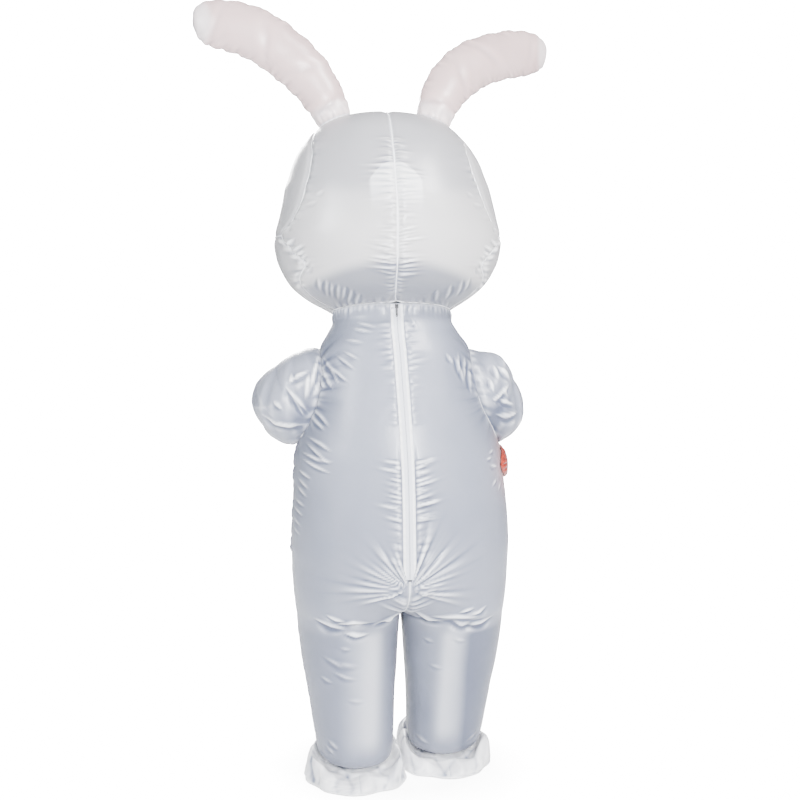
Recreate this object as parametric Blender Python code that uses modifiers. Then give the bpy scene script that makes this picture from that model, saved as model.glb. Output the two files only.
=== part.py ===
"""Inflated rabbit costume, seen standing as it is worn, with nobody in it.

Units are metres. Heights in the tables are above the floor; every piece is then
placed at FLOOR, so that the origin is between the wearer's shoulders. The front
faces -Y, the wearer's left is +X and +Z is up.
"""

import math

import bmesh
import bpy
import numpy as np

# Driving sizes
FLOOR = -1.42
WALL = 0.002
SEAM_GAP = 0.0003
LIFT = 0.0003
PATCH_LIFT = 0.0008
TAPE_LIFT = 0.0008
TAPE_WALL = 0.001
FILM_WALL = 0.001
ZIP_END = 0.664
TAPE_OUTER = 0.0185
TAPE_INNER = 0.0033
COIL_HALF = 0.003
COIL_WALL = 0.0024
NECK_TILT = 0.030
SQUARENESS = 0.92
DIFF_STEP = 0.002

# How close a plain row may come to one that a gathered seam or an edge needs.
BODY_ROW_SPACE = 0.10
HEAD_ROW_SPACE = 0.012
EAR_ROW_SPACE = 0.12

# How far the window's film reaches over the cloth, in degrees and in the head's rows.
FILM_OVERLAP = (2, 0.014)

LEFT, RIGHT = 1, -1
BACK, FRONT = 1, -1

# The body from the neck to the hem. side_z and seam_z are the heights of one row at
# the side seam and at the centre seam; the row dips at the centre to make the seat.
# split goes from 0 on the torso to 1 on the legs, gap is half the space between them.
BODY_COLUMNS = (
    "level", "side_z", "seam_z", "half_width", "back", "front",
    "split", "gap", "lean", "stride", "tilt",
)
BODY_ROWS = (
    (0, 1.420, 1.420, 0.180, 0.150, 0.150, 0, 0, 0.026, 0, 1.0),
    (1, 1.395, 1.395, 0.179, 0.153, 0.153, 0, 0, 0.025, 0, 0.8),
    (2, 1.356, 1.356, 0.198, 0.169, 0.168, 0, 0, 0.024, 0, 0.5),
    (3, 1.307, 1.307, 0.226, 0.190, 0.188, 0, 0, 0.020, 0, 0.2),
    (4, 1.230, 1.230, 0.250, 0.213, 0.200, 0, 0, 0.016, 0, 0),
    (5, 1.150, 1.150, 0.268, 0.235, 0.208, 0, 0, 0.012, 0, 0),
    (6, 1.060, 1.060, 0.296, 0.254, 0.228, 0, 0, 0.008, 0, 0),
    (7, 0.985, 0.985, 0.317, 0.266, 0.250, 0, 0, 0.005, 0, 0),
    (8, 0.900, 0.900, 0.323, 0.273, 0.272, 0, 0, 0.003, 0, 0),
    (9, 0.800, 0.800, 0.331, 0.279, 0.284, 0, 0, 0.002, 0, 0),
    (10, 0.720, 0.700, 0.334, 0.282, 0.286, 0, 0, 0.001, 0, 0),
    (11, 0.672, 0.636, 0.332, 0.280, 0.282, 0, 0, 0, 0, 0),
    (12, 0.630, 0.588, 0.330, 0.274, 0.272, 0.076, 0, 0, 0, 0),
    (13, 0.590, 0.548, 0.328, 0.262, 0.258, 0.293, 0, 0, 0, 0),
    (14, 0.550, 0.516, 0.325, 0.240, 0.236, 0.617, 0, 0, 0, 0),
    (15, 0.505, 0.500, 0.321, 0.206, 0.206, 1, 0.001, 0, 0.002, 0),
    (16, 0.430, 0.430, 0.315, 0.182, 0.184, 1, 0.007, 0, 0.008, 0),
    (17, 0.350, 0.350, 0.303, 0.166, 0.168, 1, 0.013, 0, 0.016, 0),
    (18, 0.270, 0.270, 0.289, 0.153, 0.155, 1, 0.019, 0, 0.024, 0),
    (19, 0.190, 0.190, 0.277, 0.143, 0.145, 1, 0.023, 0, 0.032, 0),
    (20, 0.125, 0.125, 0.266, 0.136, 0.137, 1, 0.025, 0, 0.038, 0),
    (21, 0.085, 0.085, 0.257, 0.126, 0.127, 1, 0.029, 0, 0.042, 0),
    (22, 0.062, 0.062, 0.240, 0.108, 0.109, 1, 0.040, 0, 0.044, 0),
    (23, 0.052, 0.052, 0.218, 0.082, 0.084, 1, 0.062, 0, 0.045, 0),
    (24, 0.054, 0.054, 0.206, 0.070, 0.071, 1, 0.073, 0, 0.045, 0),
)
ZIP_LEVEL = 11 - (ZIP_END - BODY_ROWS[11][2]) / (BODY_ROWS[10][2] - BODY_ROWS[11][2])
CROTCH_LEVEL = 15
BODY_END = 24
SEAT_FOLD_LEVEL = 15.1
BACK_T = (0, 0.055, 0.16, 0.33, 0.56, 0.78, 0.925, 0.955, 1)
FRONT_T = (0, 0.07, 0.21, 0.42, 0.64, 0.84, 1)

# The head from the neck to the crown, and the seam that bounds its back panel.
HEAD_COLUMNS = ("s", "z", "half_width", "back", "front", "lean", "tilt")
HEAD_ROWS = (
    (0, 1.420, 0.180, 0.150, 0.150, 0.026, 1.0),
    (0.03, 1.430, 0.192, 0.166, 0.166, 0.030, 0.9),
    (0.08, 1.447, 0.224, 0.200, 0.204, 0.034, 0.7),
    (0.14, 1.468, 0.257, 0.235, 0.240, 0.036, 0.5),
    (0.21, 1.500, 0.293, 0.268, 0.276, 0.038, 0.3),
    (0.29, 1.537, 0.317, 0.291, 0.300, 0.038, 0.15),
    (0.38, 1.580, 0.335, 0.305, 0.316, 0.038, 0.05),
    (0.45, 1.625, 0.342, 0.311, 0.322, 0.038, 0),
    (0.50, 1.650, 0.340, 0.312, 0.322, 0.038, 0),
    (0.58, 1.700, 0.328, 0.308, 0.316, 0.038, 0),
    (0.66, 1.750, 0.316, 0.299, 0.305, 0.039, 0),
    (0.72, 1.790, 0.307, 0.288, 0.292, 0.041, 0),
    (0.77, 1.823, 0.295, 0.276, 0.279, 0.042, 0),
    (0.82, 1.860, 0.282, 0.260, 0.262, 0.043, 0),
    (0.87, 1.895, 0.264, 0.241, 0.242, 0.045, 0),
    (0.91, 1.930, 0.238, 0.216, 0.217, 0.046, 0),
    (0.945, 1.965, 0.203, 0.184, 0.184, 0.047, 0),
    (0.975, 1.993, 0.156, 0.140, 0.140, 0.047, 0),
    (0.992, 2.011, 0.088, 0.080, 0.080, 0.047, 0),
    (1, 2.018, 0.0, 0.0, 0.0, 0.047, 0),
)
SIDE_SEAM_COLUMNS = ("s", "turn")
SIDE_SEAM_ROWS = (
    (0, 80), (0.14, 70), (0.24, 62), (0.34, 50), (0.42, 60), (0.49, 70), (0.56, 60),
    (0.66, 54), (0.75, 52), (0.84, 54), (0.91, 68), (0.96, 90), (1, 90),
)
CHEEK_S = 0.49
SIDE_TIP_S = 0.96
HEAD_U = (0, 0.05, 0.20, 0.41, 0.62, 0.82, 0.95, 1)
FACE_U = (0, 0.25, 0.50, 0.76, 1)
SIDE_U = (0, 0.10, 0.30, 0.53, 0.77, 1)

# Each sleeve from inside the shoulder to the wrist. yaw turns the ring from facing
# out to facing forward, tuck is how much nearer the body the right arm lies.
SLEEVE_COLUMNS = ("ring", "x", "y", "z", "yaw", "half_width", "half_height", "tuck")
SLEEVE_ROWS = (
    (0, 0.170, 0.000, 1.180, 0, 0.106, 0.128, 0),
    (1, 0.215, 0.000, 1.178, 0, 0.110, 0.134, 0),
    (2, 0.262, 0.002, 1.172, 10, 0.114, 0.139, 0.003),
    (3, 0.300, -0.006, 1.164, 25, 0.114, 0.139, 0.008),
    (4, 0.331, -0.030, 1.154, 42, 0.110, 0.136, 0.016),
    (5, 0.349, -0.062, 1.146, 58, 0.104, 0.126, 0.024),
    (6, 0.354, -0.098, 1.140, 73, 0.098, 0.113, 0.028),
    (7, 0.353, -0.140, 1.138, 84, 0.091, 0.102, 0.028),
    (8, 0.350, -0.190, 1.141, 92, 0.085, 0.091, 0.028),
    (9, 0.344, -0.245, 1.147, 95, 0.078, 0.080, 0.028),
    (10, 0.338, -0.295, 1.155, 96, 0.068, 0.068, 0.028),
    (11, 0.334, -0.322, 1.160, 96, 0.052, 0.052, 0.028),
    (12, 0.333, -0.332, 1.161, 96, 0.044, 0.044, 0.028),
)
SLEEVE_AROUND = 14
CUFF_LENGTH = 0.035
CUFF_RADIUS = 0.0437
CUFF_AROUND = 16

# Each ear from inside the head to its tip.
EAR_COLUMNS = ("ring", "x", "y", "z", "half_width", "half_depth")
EAR_LEFT_ROWS = (
    (0, 0.186, 0, 1.930, 0.050, 0.036),
    (1, 0.195, 0, 1.985, 0.052, 0.039),
    (2, 0.219, 0, 2.042, 0.061, 0.043),
    (3, 0.258, 0, 2.102, 0.069, 0.046),
    (4, 0.310, 0, 2.158, 0.074, 0.047),
    (5, 0.372, 0, 2.208, 0.076, 0.047),
    (6, 0.440, 0, 2.246, 0.076, 0.046),
    (7, 0.505, 0, 2.268, 0.075, 0.043),
    (8, 0.560, 0, 2.278, 0.070, 0.038),
    (9, 0.598, 0, 2.282, 0.057, 0.030),
    (10, 0.618, 0, 2.283, 0.036, 0.019),
    (11, 0.626, 0, 2.283, 0.004, 0.004),
)
EAR_RIGHT_ROWS = (
    (0, -0.092, 0, 1.930, 0.050, 0.036),
    (1, -0.099, 0, 1.985, 0.052, 0.039),
    (2, -0.117, -0.010, 2.042, 0.061, 0.043),
    (3, -0.146, -0.034, 2.098, 0.069, 0.046),
    (4, -0.188, -0.068, 2.147, 0.074, 0.047),
    (5, -0.242, -0.108, 2.189, 0.076, 0.047),
    (6, -0.306, -0.150, 2.221, 0.076, 0.046),
    (7, -0.370, -0.190, 2.243, 0.075, 0.043),
    (8, -0.424, -0.222, 2.256, 0.070, 0.038),
    (9, -0.461, -0.243, 2.261, 0.057, 0.030),
    (10, -0.481, -0.254, 2.263, 0.036, 0.019),
    (11, -0.488, -0.258, 2.263, 0.004, 0.004),
)
EAR_U = (0, 0.13, 0.37, 0.63, 0.87, 1)

# Gathers of thread at a seam, each row with the columns start, stop, count, clear,
# rise_at, reach and height: how many ridges stand between two places on the seam, and
# where they begin, peak and end across the panel, as shares of its width.
BODY_CENTRE_GATHERS = (
    (1.6, 3.9, 5, 0.045, 0.075, 0.20, 0.0016),
    (6.9, 8.75, 11, 0.045, 0.075, 0.22, 0.0024),
    (9.3, 12.8, 10, 0.045, 0.075, 0.34, 0.0032),
)
BODY_LEFT_SIDE_GATHERS = ((5.9, 10.0, 14, 0, 0.055, 0.19, 0.0022),)
BODY_RIGHT_SIDE_GATHERS = ((8.0, 9.2, 6, 0, 0.055, 0.19, 0.0020),)
ARMHOLE_GATHERS = ((2.7, 4.9, 6, 0, 0.050, 0.30, 0.0018),)
HEAD_CENTRE_GATHERS = ((0.30, 0.84, 22, 0, 0.050, 0.25, 0.0026),)
HEAD_SIDE_GATHERS = ((0.19, 0.46, 8, 0, 0.050, 0.27, 0.0030),)

# Shoe covers: the outline on the floor and the ankle opening, per foot.
SHOE_COLUMNS = ("foot", "x", "y", "half_width", "heel", "toe")
SHOE_ROWS = (
    (LEFT, 0.140, 0.045, 0.150, 0.165, 0.270),
    (RIGHT, -0.142, -0.045, 0.140, 0.160, 0.275),
)
ANKLE_RADIUS = 0.058

# The cover's rise from its edge: share of the way in to the ankle, and the heights
# behind the heel, over the toes and at either side. Under the hem it stays low.
SHOE_PROFILE_COLUMNS = ("v", "share", "heel_z", "toe_z", "side_z")
SHOE_PROFILE_ROWS = (
    (0, 0, 0.000, 0.000, 0.000),
    (0.12, 0.05, 0.014, 0.050, 0.060),
    (0.30, 0.20, 0.024, 0.086, 0.078),
    (0.48, 0.42, 0.029, 0.080, 0.048),
    (0.66, 0.68, 0.034, 0.036, 0.036),
    (0.80, 0.90, 0.038, 0.038, 0.038),
    (0.90, 1.00, 0.056, 0.056, 0.056),
    (1.00, 1.00, 0.120, 0.120, 0.120),
)
SHOE_V = (0, 0.12, 0.30, 0.48, 0.66, 0.80, 0.90, 1)
SHOE_AROUND = 18
SOLE_WALL = 0.002

# Slider and pull of the zip, in the frame of the slope they lie on.
SLIDER_LENGTH = 0.012
SLIDER_HALF = 0.0052
PIN_RADIUS = 0.0008
PIN_HEIGHT = 0.0028
TAB_LENGTH = 0.032
TAB_HALF = 0.0030
TAB_WALL = 0.0014
TAB_HOLE = 0.0012
TAB_PLAY = 0.0003
BARREL_RADIUS = 0.0020
SLIDER_LEVEL = 0.30

# The fan's port, on the front of the wearer's left hip.
FAN_T = 0.50
FAN_LEVEL = 9.3
FAN_RADIUS = 0.052
DUCT_RADIUS = 0.041
DUCT_WALL = 0.002
DUCT_DEPTH = 0.034
FAN_WALL = 0.0022
FAN_AROUND = 16


def clear_scene():
    for old in list(bpy.data.objects):
        bpy.data.objects.remove(old, do_unlink=True)


def new_collection(name, helpers=False):
    group = bpy.data.collections.new(name)
    bpy.context.scene.collection.children.link(group)
    group.hide_render = helpers
    return group


def new_material(name, colour, roughness, metallic=0.0, alpha=1.0, see_through=0.0):
    material = bpy.data.materials.new(name)
    material.use_nodes = True
    shader = material.node_tree.nodes["Principled BSDF"]
    shader.inputs["Base Color"].default_value = (*colour, 1)
    shader.inputs["Roughness"].default_value = roughness
    shader.inputs["Metallic"].default_value = metallic
    shader.inputs["Alpha"].default_value = alpha
    shader.inputs["Transmission Weight"].default_value = see_through
    material.diffuse_color = (*colour, 1)
    return material


def unit(vector):
    return vector / (np.linalg.norm(vector) + 1e-15)


class Table:
    """A short table with named columns, read along its first column by a smooth,
    monotone curve, so that it never overshoots its own rows."""

    def __init__(self, names, rows):
        data = np.array(rows, float)
        self.key = data[:, 0]
        self.columns = {name: data[:, i] for i, name in enumerate(names)}
        self.slopes = {name: self.slope(column) for name, column in self.columns.items()}

    def slope(self, column):
        steps = np.diff(self.key)
        rises = np.diff(column) / steps
        slopes = np.zeros(len(column))
        slopes[0], slopes[-1] = rises[0], rises[-1]
        for i in range(1, len(column) - 1):
            before, after = rises[i - 1], rises[i]
            if before * after > 0:
                slopes[i] = 2 * before * after / (before + after)
        return slopes

    def at(self, name, place):
        column, slopes = self.columns[name], self.slopes[name]
        i = int(np.clip(np.searchsorted(self.key, place, side="right") - 1, 0, len(column) - 2))
        step = self.key[i + 1] - self.key[i]
        f = (place - self.key[i]) / step
        start = (1 + 2 * f) * (1 - f) ** 2 * column[i] + f * (1 - f) ** 2 * step * slopes[i]
        stop = f * f * (3 - 2 * f) * column[i + 1] + f * f * (f - 1) * step * slopes[i + 1]
        return start + stop


BODY = Table(BODY_COLUMNS, BODY_ROWS)
HEAD = Table(HEAD_COLUMNS, HEAD_ROWS)
SIDE_SEAM = Table(SIDE_SEAM_COLUMNS, SIDE_SEAM_ROWS)
SLEEVE = Table(SLEEVE_COLUMNS, SLEEVE_ROWS)
SHOE_PROFILE = Table(SHOE_PROFILE_COLUMNS, SHOE_PROFILE_ROWS)
EARS = {LEFT: Table(EAR_COLUMNS, EAR_LEFT_ROWS), RIGHT: Table(EAR_COLUMNS, EAR_RIGHT_ROWS)}


def ease(x):
    x = min(max(x, 0.0), 1.0)
    return x * x * (3 - 2 * x)


def uneven(index, seed):
    """A repeatable number between 0 and 1 that looks random from one index to the next."""
    value = math.sin(index * 12.9898 + seed * 78.233) * 43758.5453
    return value - math.floor(value)


def gather_height(groups, along, across, seed):
    """How far the cloth stands out at one place beside a gathered seam."""
    total = 0.0
    for number, (start, stop, count, clear, rise_at, reach, height) in enumerate(groups):
        if not start < along < stop or across <= clear:
            continue
        phase = (along - start) / (stop - start) * count
        index = int(phase)
        size = 0.6 + 0.4 * uneven(index, seed + number)
        length = reach * (0.65 + 0.35 * uneven(index, seed + number + 7))
        if across < rise_at:
            shape = ease((across - clear) / (rise_at - clear))
        else:
            shape = 1 - ease((across - rise_at) / max(length - rise_at, 0.01))
        ridge = 0.5 - 0.5 * math.cos(2 * math.pi * (phase - index))
        total += height * size * shape * ridge
    return total


def gather_rows(groups):
    """The rows that a gathered seam needs: one on each ridge and one in each valley."""
    rows = []
    for start, stop, count, *_ in groups:
        rows.extend(start + (stop - start) * i / (2 * count) for i in range(2 * count + 1))
    return rows


def merged(rows, extra, closest):
    """Sorted rows, with each base row that lies too near an extra one left out."""
    kept = [r for r in rows if all(abs(r - e) > closest for e in extra)]
    return sorted(set(kept) | set(extra))


class BodyFace:
    """One quarter of the body's outer surface: t is 0 at the side seam and 1 at the centre."""

    def __init__(self, side, face):
        self.side, self.face = side, face
        self.seed = 3 + side * 2 + face

    def point(self, t, level):
        read = lambda name: BODY.at(name, level)
        depth = read("back") if self.face == BACK else read("front")
        half, gap, split = read("half_width"), read("gap"), read("split")
        turn = t * math.pi / 2
        torso_x = half * max(math.cos(turn), 0.0) ** SQUARENESS
        torso_y = depth * math.sin(turn) ** SQUARENESS
        radius = (half - gap) / 2
        leg_x = gap + radius * (1 + math.cos(2 * turn))
        leg_y = depth * max(math.sin(2 * turn), 0.0)
        x = (1 - split) * torso_x + split * leg_x
        y = (1 - split) * torso_y + split * leg_y
        z = read("side_z") + (read("seam_z") - read("side_z")) * ease(t)
        z += NECK_TILT * read("tilt") * self.face * y / depth
        return np.array([
            self.side * x + read("lean"),
            self.face * y + self.side * read("stride"),
            z,
        ])

    def normal(self, t, level):
        low, high = max(level - 0.02, 0), min(level + 0.02, BODY_END)
        down = unit(self.point(t, high) - self.point(t, low))
        if t <= 0:
            return unit(np.array([-self.side * down[2], 0, self.side * down[0]]))
        if t >= 1:
            if abs(level - CROTCH_LEVEL) < 1e-6:
                return unit(np.array([-self.side, 0, -1.0]))
            if level < CROTCH_LEVEL:
                return unit(np.array([0, -self.face * down[2], self.face * down[1]]))
            return unit(np.array([self.side * down[2], 0, -self.side * down[0]]))
        before, after = max(t - DIFF_STEP, 0), min(t + DIFF_STEP, 1)
        across = self.point(after, level) - self.point(before, level)
        return unit(np.cross(down, across)) * self.side * self.face

    def relief(self, t, level):
        if self.face == FRONT:
            return 0.0
        side = BODY_LEFT_SIDE_GATHERS if self.side == LEFT else BODY_RIGHT_SIDE_GATHERS
        total = gather_height(side, level, t, self.seed + 20)
        total += gather_height(BODY_CENTRE_GATHERS, level, 1 - t, self.seed)
        total += gather_height(ARMHOLE_GATHERS, level, max(t - 0.28, 0), self.seed + 40)
        return total - self.seat_fold(t, level)

    def seat_fold(self, t, level):
        """The deep level fold where the seat hangs over the back of each thigh."""
        across = math.exp(-((t - 0.55) / 0.24) ** 2)
        middle = SEAT_FOLD_LEVEL - 0.5 * t
        return 0.014 * across * math.exp(-((level - middle) / 0.33) ** 2)


def body_rows(t, side, face):
    """The rows of one column of a body panel, dense where the seam beside it is gathered."""
    extra = []
    if 0.92 <= t < 1 and face == BACK:
        extra += gather_rows(BODY_CENTRE_GATHERS)
    if t >= 1 and face == BACK:
        extra += [row + 0.5 for row in range(11)]
    if t <= 0 or (t <= 0.06 and face == BACK):
        extra += gather_rows(BODY_LEFT_SIDE_GATHERS if side == LEFT else BODY_RIGHT_SIDE_GATHERS)
    if face == BACK and 0.30 <= t <= 0.35:
        extra += gather_rows(ARMHOLE_GATHERS)
    base = list(range(BODY_END + 1))
    if face == BACK and 0.30 <= t <= 0.85:
        extra += [14.6, 15.15, 15.55]
    ends = [0, BODY_END, CROTCH_LEVEL] if t >= 1 else [0, BODY_END]
    extra = [e for e in extra if all(abs(e - end) > 0.04 for end in ends)]
    return merged(base, extra + ends, BODY_ROW_SPACE)


class HeadFace:
    """One panel of the head's outer surface, between two turns about the neck."""

    def __init__(self, side, turn_from, turn_to, gathers=None):
        self.side = side
        self.turn_from, self.turn_to = turn_from, turn_to
        self.gathers = gathers or {}
        self.seed = 60 + side * 3

    def turn(self, u, s):
        return self.turn_from(s) + (self.turn_to(s) - self.turn_from(s)) * u

    def point(self, u, s):
        return head_point(self.side, self.turn(u, s), s)

    def normal(self, u, s):
        return head_normal(self.side, self.turn(u, s), s)

    def relief(self, u, s):
        total = 0.0
        for edge, groups in self.gathers.items():
            across = u if edge == 0 else 1 - u
            total += gather_height(groups, s, across, self.seed + edge * 9)
        return total


def head_point(side, turn, s):
    """Outer surface of the head: turn is 0 at the centre back and 180 at the centre front."""
    read = lambda name: HEAD.at(name, s)
    angle = math.radians(turn)
    sine, cosine = max(math.sin(angle), 0.0), math.cos(angle)
    depth = read("back") if cosine > 0 else read("front")
    x = read("half_width") * sine ** SQUARENESS
    y = depth * math.copysign(abs(cosine) ** SQUARENESS, cosine)
    z = read("z") + NECK_TILT * read("tilt") * math.copysign(abs(cosine) ** SQUARENESS, cosine)
    return np.array([side * x + read("lean"), y, z])


def head_normal(side, turn, s):
    if s > 0.9995:
        return np.array([0, 0, 1.0])
    down, up = max(s - 0.004, 0), min(s + 0.004, 0.9995)
    rise = head_point(side, turn, up) - head_point(side, turn, down)
    before, after = max(turn - 0.3, 0), min(turn + 0.3, 180)
    across = head_point(side, after, s) - head_point(side, before, s)
    normal = np.cross(rise, across) * side
    if turn <= 0.01 or turn >= 179.99:
        normal[0] = 0
    return unit(normal)


class SleeveFace:
    """The sleeve's outer surface: u runs once round from the underarm seam."""

    def __init__(self, side):
        self.side = side

    def centre(self, ring):
        read = lambda name: SLEEVE.at(name, ring)
        tuck = read("tuck") if self.side == RIGHT else 0
        lean = 0.012
        return np.array([self.side * (read("x") - tuck - lean) + lean, read("y"), read("z")])

    def point(self, u, ring):
        read = lambda name: SLEEVE.at(name, ring)
        slim = 0.93 if self.side == RIGHT and ring >= 4 else 1
        if self.side == RIGHT and ring < 4:
            slim = 1 - 0.07 * ease(ring / 4)
        yaw = math.radians(read("yaw"))
        outward = np.array([self.side * math.sin(yaw), math.cos(yaw), 0])
        angle = 2 * math.pi * u
        ripple = 1 - self.crease(u, ring)
        width = read("half_width") * slim * math.sin(angle) * ripple
        height = -read("half_height") * math.cos(angle) * ripple
        return self.centre(ring) + outward * width + np.array([0, 0, height])

    def crease(self, u, ring):
        """Three creases that fan out from the inside of the bent elbow over the back of the arm."""
        total = 0.0
        for middle, lean, depth in ((2.75, 1.0, 0.045), (3.75, 0.1, 0.06), (4.9, -0.9, 0.05)):
            place = middle + lean * (u - 0.30)
            here = math.exp(-((ring - place) / 0.28) ** 2)
            total += depth * here * math.exp(-((u - 0.24) / 0.15) ** 2)
        return total

    def normal(self, u, ring):
        low, high = max(ring - 0.05, 0), min(ring + 0.05, SLEEVE_ROWS[-1][0])
        along = self.point(u, high) - self.point(u, low)
        across = self.point(u + 0.004, ring) - self.point(u - 0.004, ring)
        return unit(np.cross(across, along)) * self.side

    def relief(self, u, ring):
        return 0.0


class EarFace:
    """Half of an ear: u runs from one edge seam to the other over the back or the front."""

    def __init__(self, side, face):
        self.side, self.face = side, face
        self.table = EARS[side]
        self.last = self.table.key[-1]

    def centre(self, ring):
        return np.array([self.table.at(name, ring) for name in ("x", "y", "z")])

    def frame(self, ring):
        low, high = max(ring - 0.25, 0), min(ring + 0.25, self.last)
        along = unit(self.centre(high) - self.centre(low))
        back = np.array([0, 1.0, 0])
        deep = unit(back - along * np.dot(back, along))
        return np.cross(deep, along), deep

    def point(self, u, ring):
        wide, deep = self.frame(ring)
        angle = math.pi * u
        width = self.table.at("half_width", ring) * math.cos(angle) * self.scallop(ring)
        depth = self.table.at("half_depth", ring) * math.sin(angle)
        return self.centre(ring) + wide * width + deep * depth * self.face

    def scallop(self, ring):
        """The edge seam is drawn in between the puckers, so that the outline is scalloped."""
        if not 1.5 < ring < 10.5:
            return 1.0
        return 1 - 0.028 * (0.5 - 0.5 * math.cos(2 * math.pi * (ring - 1.5) * 10 / 9))

    def normal(self, u, ring):
        wide, deep = self.frame(ring)
        if u <= 0 or u >= 1:
            low, high = max(ring - 0.03, 0), min(ring + 0.03, self.last)
            along = unit(self.point(u, high) - self.point(u, low))
            out = wide if u <= 0 else -wide
            flat = out - along * np.dot(out, along)
            return unit(flat - deep * np.dot(flat, deep))
        low, high = max(ring - 0.05, 0), min(ring + 0.05, self.last)
        along = self.point(u, high) - self.point(u, low)
        across = self.point(min(u + 0.004, 1), ring) - self.point(max(u - 0.004, 0), ring)
        return unit(np.cross(across, along)) * self.face

    def relief(self, u, ring):
        return 0.0


def inset(face, u, v, normal, along_u, ends, step):
    """A move of half the seam gap into the panel, square to its edge."""
    low_u, high_u, low_v, high_v = ends
    here = face.point(u, v)
    if along_u:
        before = face.point(max(u - step, low_u), v)
        after = face.point(min(u + step, high_u), v)
        inside = face.point(u, v + step if v <= low_v else v - step) - here
    else:
        before = face.point(u, max(v - step, low_v))
        after = face.point(u, min(v + step, high_v))
        inside = face.point(u + step if u <= low_u else u - step, v) - here
    square = np.cross(normal, after - before)
    if np.linalg.norm(square) < 1e-12:
        return np.zeros(3)
    square = unit(square)
    return square * math.copysign(SEAM_GAP / 2, np.dot(square, inside))


class Sheet:
    """A wall of cloth on a face: columns of points, joined to a closed solid."""

    def __init__(self, face, columns, rows_of, seams=(True, True, True, True),
                 lift=0.0, wall=WALL):
        self.face, self.columns, self.seams = face, list(columns), seams
        self.rows = [list(rows_of(u)) for u in self.columns]
        self.lift, self.wall = lift, wall
        self.mesh = bmesh.new()
        ends = (self.columns[0], self.columns[-1], self.rows[0][0], self.rows[0][-1])
        placed = []
        for u, rows in zip(self.columns, self.rows):
            column = []
            for v in rows:
                normal = face.normal(u, v)
                place = face.point(u, v) + normal * (face.relief(u, v) + lift)
                if u == ends[0] and seams[0] or u == ends[1] and seams[1]:
                    place = place + inset(face, u, v, normal, False, ends, 0.003)
                if v == ends[2] and seams[2] or v == ends[3] and seams[3]:
                    place = place + inset(face, u, v, normal, True, ends, 0.003)
                column.append((place, normal))
            placed.append(column)
        self.close_tip(placed)
        self.outer = [[self.mesh.verts.new(p) for p, _ in column] for column in placed]
        self.inner = [
            [self.mesh.verts.new(p - n * wall) for p, n in column] if wall else []
            for column in placed
        ]

    def close_tip(self, placed):
        """Where a panel ends in a point, every column ends there at the same place."""
        first, last = placed[0][-1][0], placed[-1][-1][0]
        if np.linalg.norm(first - last) > 0.001 or len(placed) < 3:
            return
        if np.linalg.norm(placed[len(placed) // 2][-1][0] - first) > 0.001:
            return
        middle = placed[len(placed) // 2][-1][0]
        tip = (first + last - middle, unit(placed[0][-1][1] + placed[-1][-1][1]))
        for column in placed:
            column[-1] = tip

    def add(self, *points):
        different = []
        for point in points:
            if point not in different:
                different.append(point)
        if len(different) > 2:
            self.mesh.faces.new(different)

    def strip(self, left, right, left_rows, right_rows, flip):
        """Joins two columns whose rows differ, always taking the nearer next point."""
        i = j = 0
        while i < len(left) - 1 or j < len(right) - 1:
            step_left = j == len(right) - 1 or (
                i < len(left) - 1 and left_rows[i + 1] <= right_rows[j + 1] + 1e-9
            )
            if i < len(left) - 1 and j < len(right) - 1 and (
                abs(left_rows[i + 1] - right_rows[j + 1]) < 1e-9
            ):
                corners = [left[i], left[i + 1], right[j + 1], right[j]]
                i, j = i + 1, j + 1
            elif step_left:
                corners = [left[i], left[i + 1], right[j]]
                i += 1
            else:
                corners = [left[i], right[j + 1], right[j]]
                j += 1
            self.add(*(corners[::-1] if flip else corners))

    def skin(self):
        for k in range(len(self.columns) - 1):
            args = (self.rows[k], self.rows[k + 1])
            self.strip(self.outer[k], self.outer[k + 1], *args, False)
            if self.wall:
                self.strip(self.inner[k], self.inner[k + 1], *args, True)

    def rims(self):
        for k, turned in ((0, True), (-1, False)):
            outer, inner = self.outer[k], self.inner[k]
            for i in range(len(outer) - 1):
                corners = [outer[i], inner[i], inner[i + 1], outer[i + 1]]
                self.add(*(corners[::-1] if turned else corners))
        for row, turned in ((0, False), (-1, True)):
            for k in range(len(self.columns) - 1):
                corners = [
                    self.outer[k][row], self.inner[k][row],
                    self.inner[k + 1][row], self.outer[k + 1][row],
                ]
                self.add(*(corners[::-1] if turned else corners))

    def solid(self):
        self.skin()
        self.rims()
        return closed(self.mesh)


def closed(mesh):
    bmesh.ops.remove_doubles(mesh, verts=mesh.verts, dist=2e-6)
    bmesh.ops.dissolve_degenerate(mesh, edges=mesh.edges, dist=1e-7)
    bmesh.ops.triangulate(mesh, faces=mesh.faces)
    bmesh.ops.recalc_face_normals(mesh, faces=mesh.faces)
    if mesh.calc_volume(signed=True) < 0:
        bmesh.ops.reverse_faces(mesh, faces=mesh.faces)
    return mesh


def place_object(name, mesh, group, material, smooth=True, location=(0, 0, FLOOR)):
    data = bpy.data.meshes.new(name)
    mesh.to_mesh(data)
    mesh.free()
    if smooth:
        data.shade_smooth()
        data.set_sharp_from_angle(angle=math.radians(40))
    piece = bpy.data.objects.new(name, data)
    piece.location = location
    group.objects.link(piece)
    if material:
        data.materials.append(material)
    return piece


def cut(piece, cutter, operation="DIFFERENCE"):
    modifier = piece.modifiers.new(cutter.name, "BOOLEAN")
    modifier.operation = operation
    modifier.object = cutter
    modifier.solver = "EXACT"
    return modifier


def helper(name, mesh, group):
    piece = place_object(name, mesh, group, None, smooth=False)
    piece.display_type = "WIRE"
    piece.hide_render = True
    return piece


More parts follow.
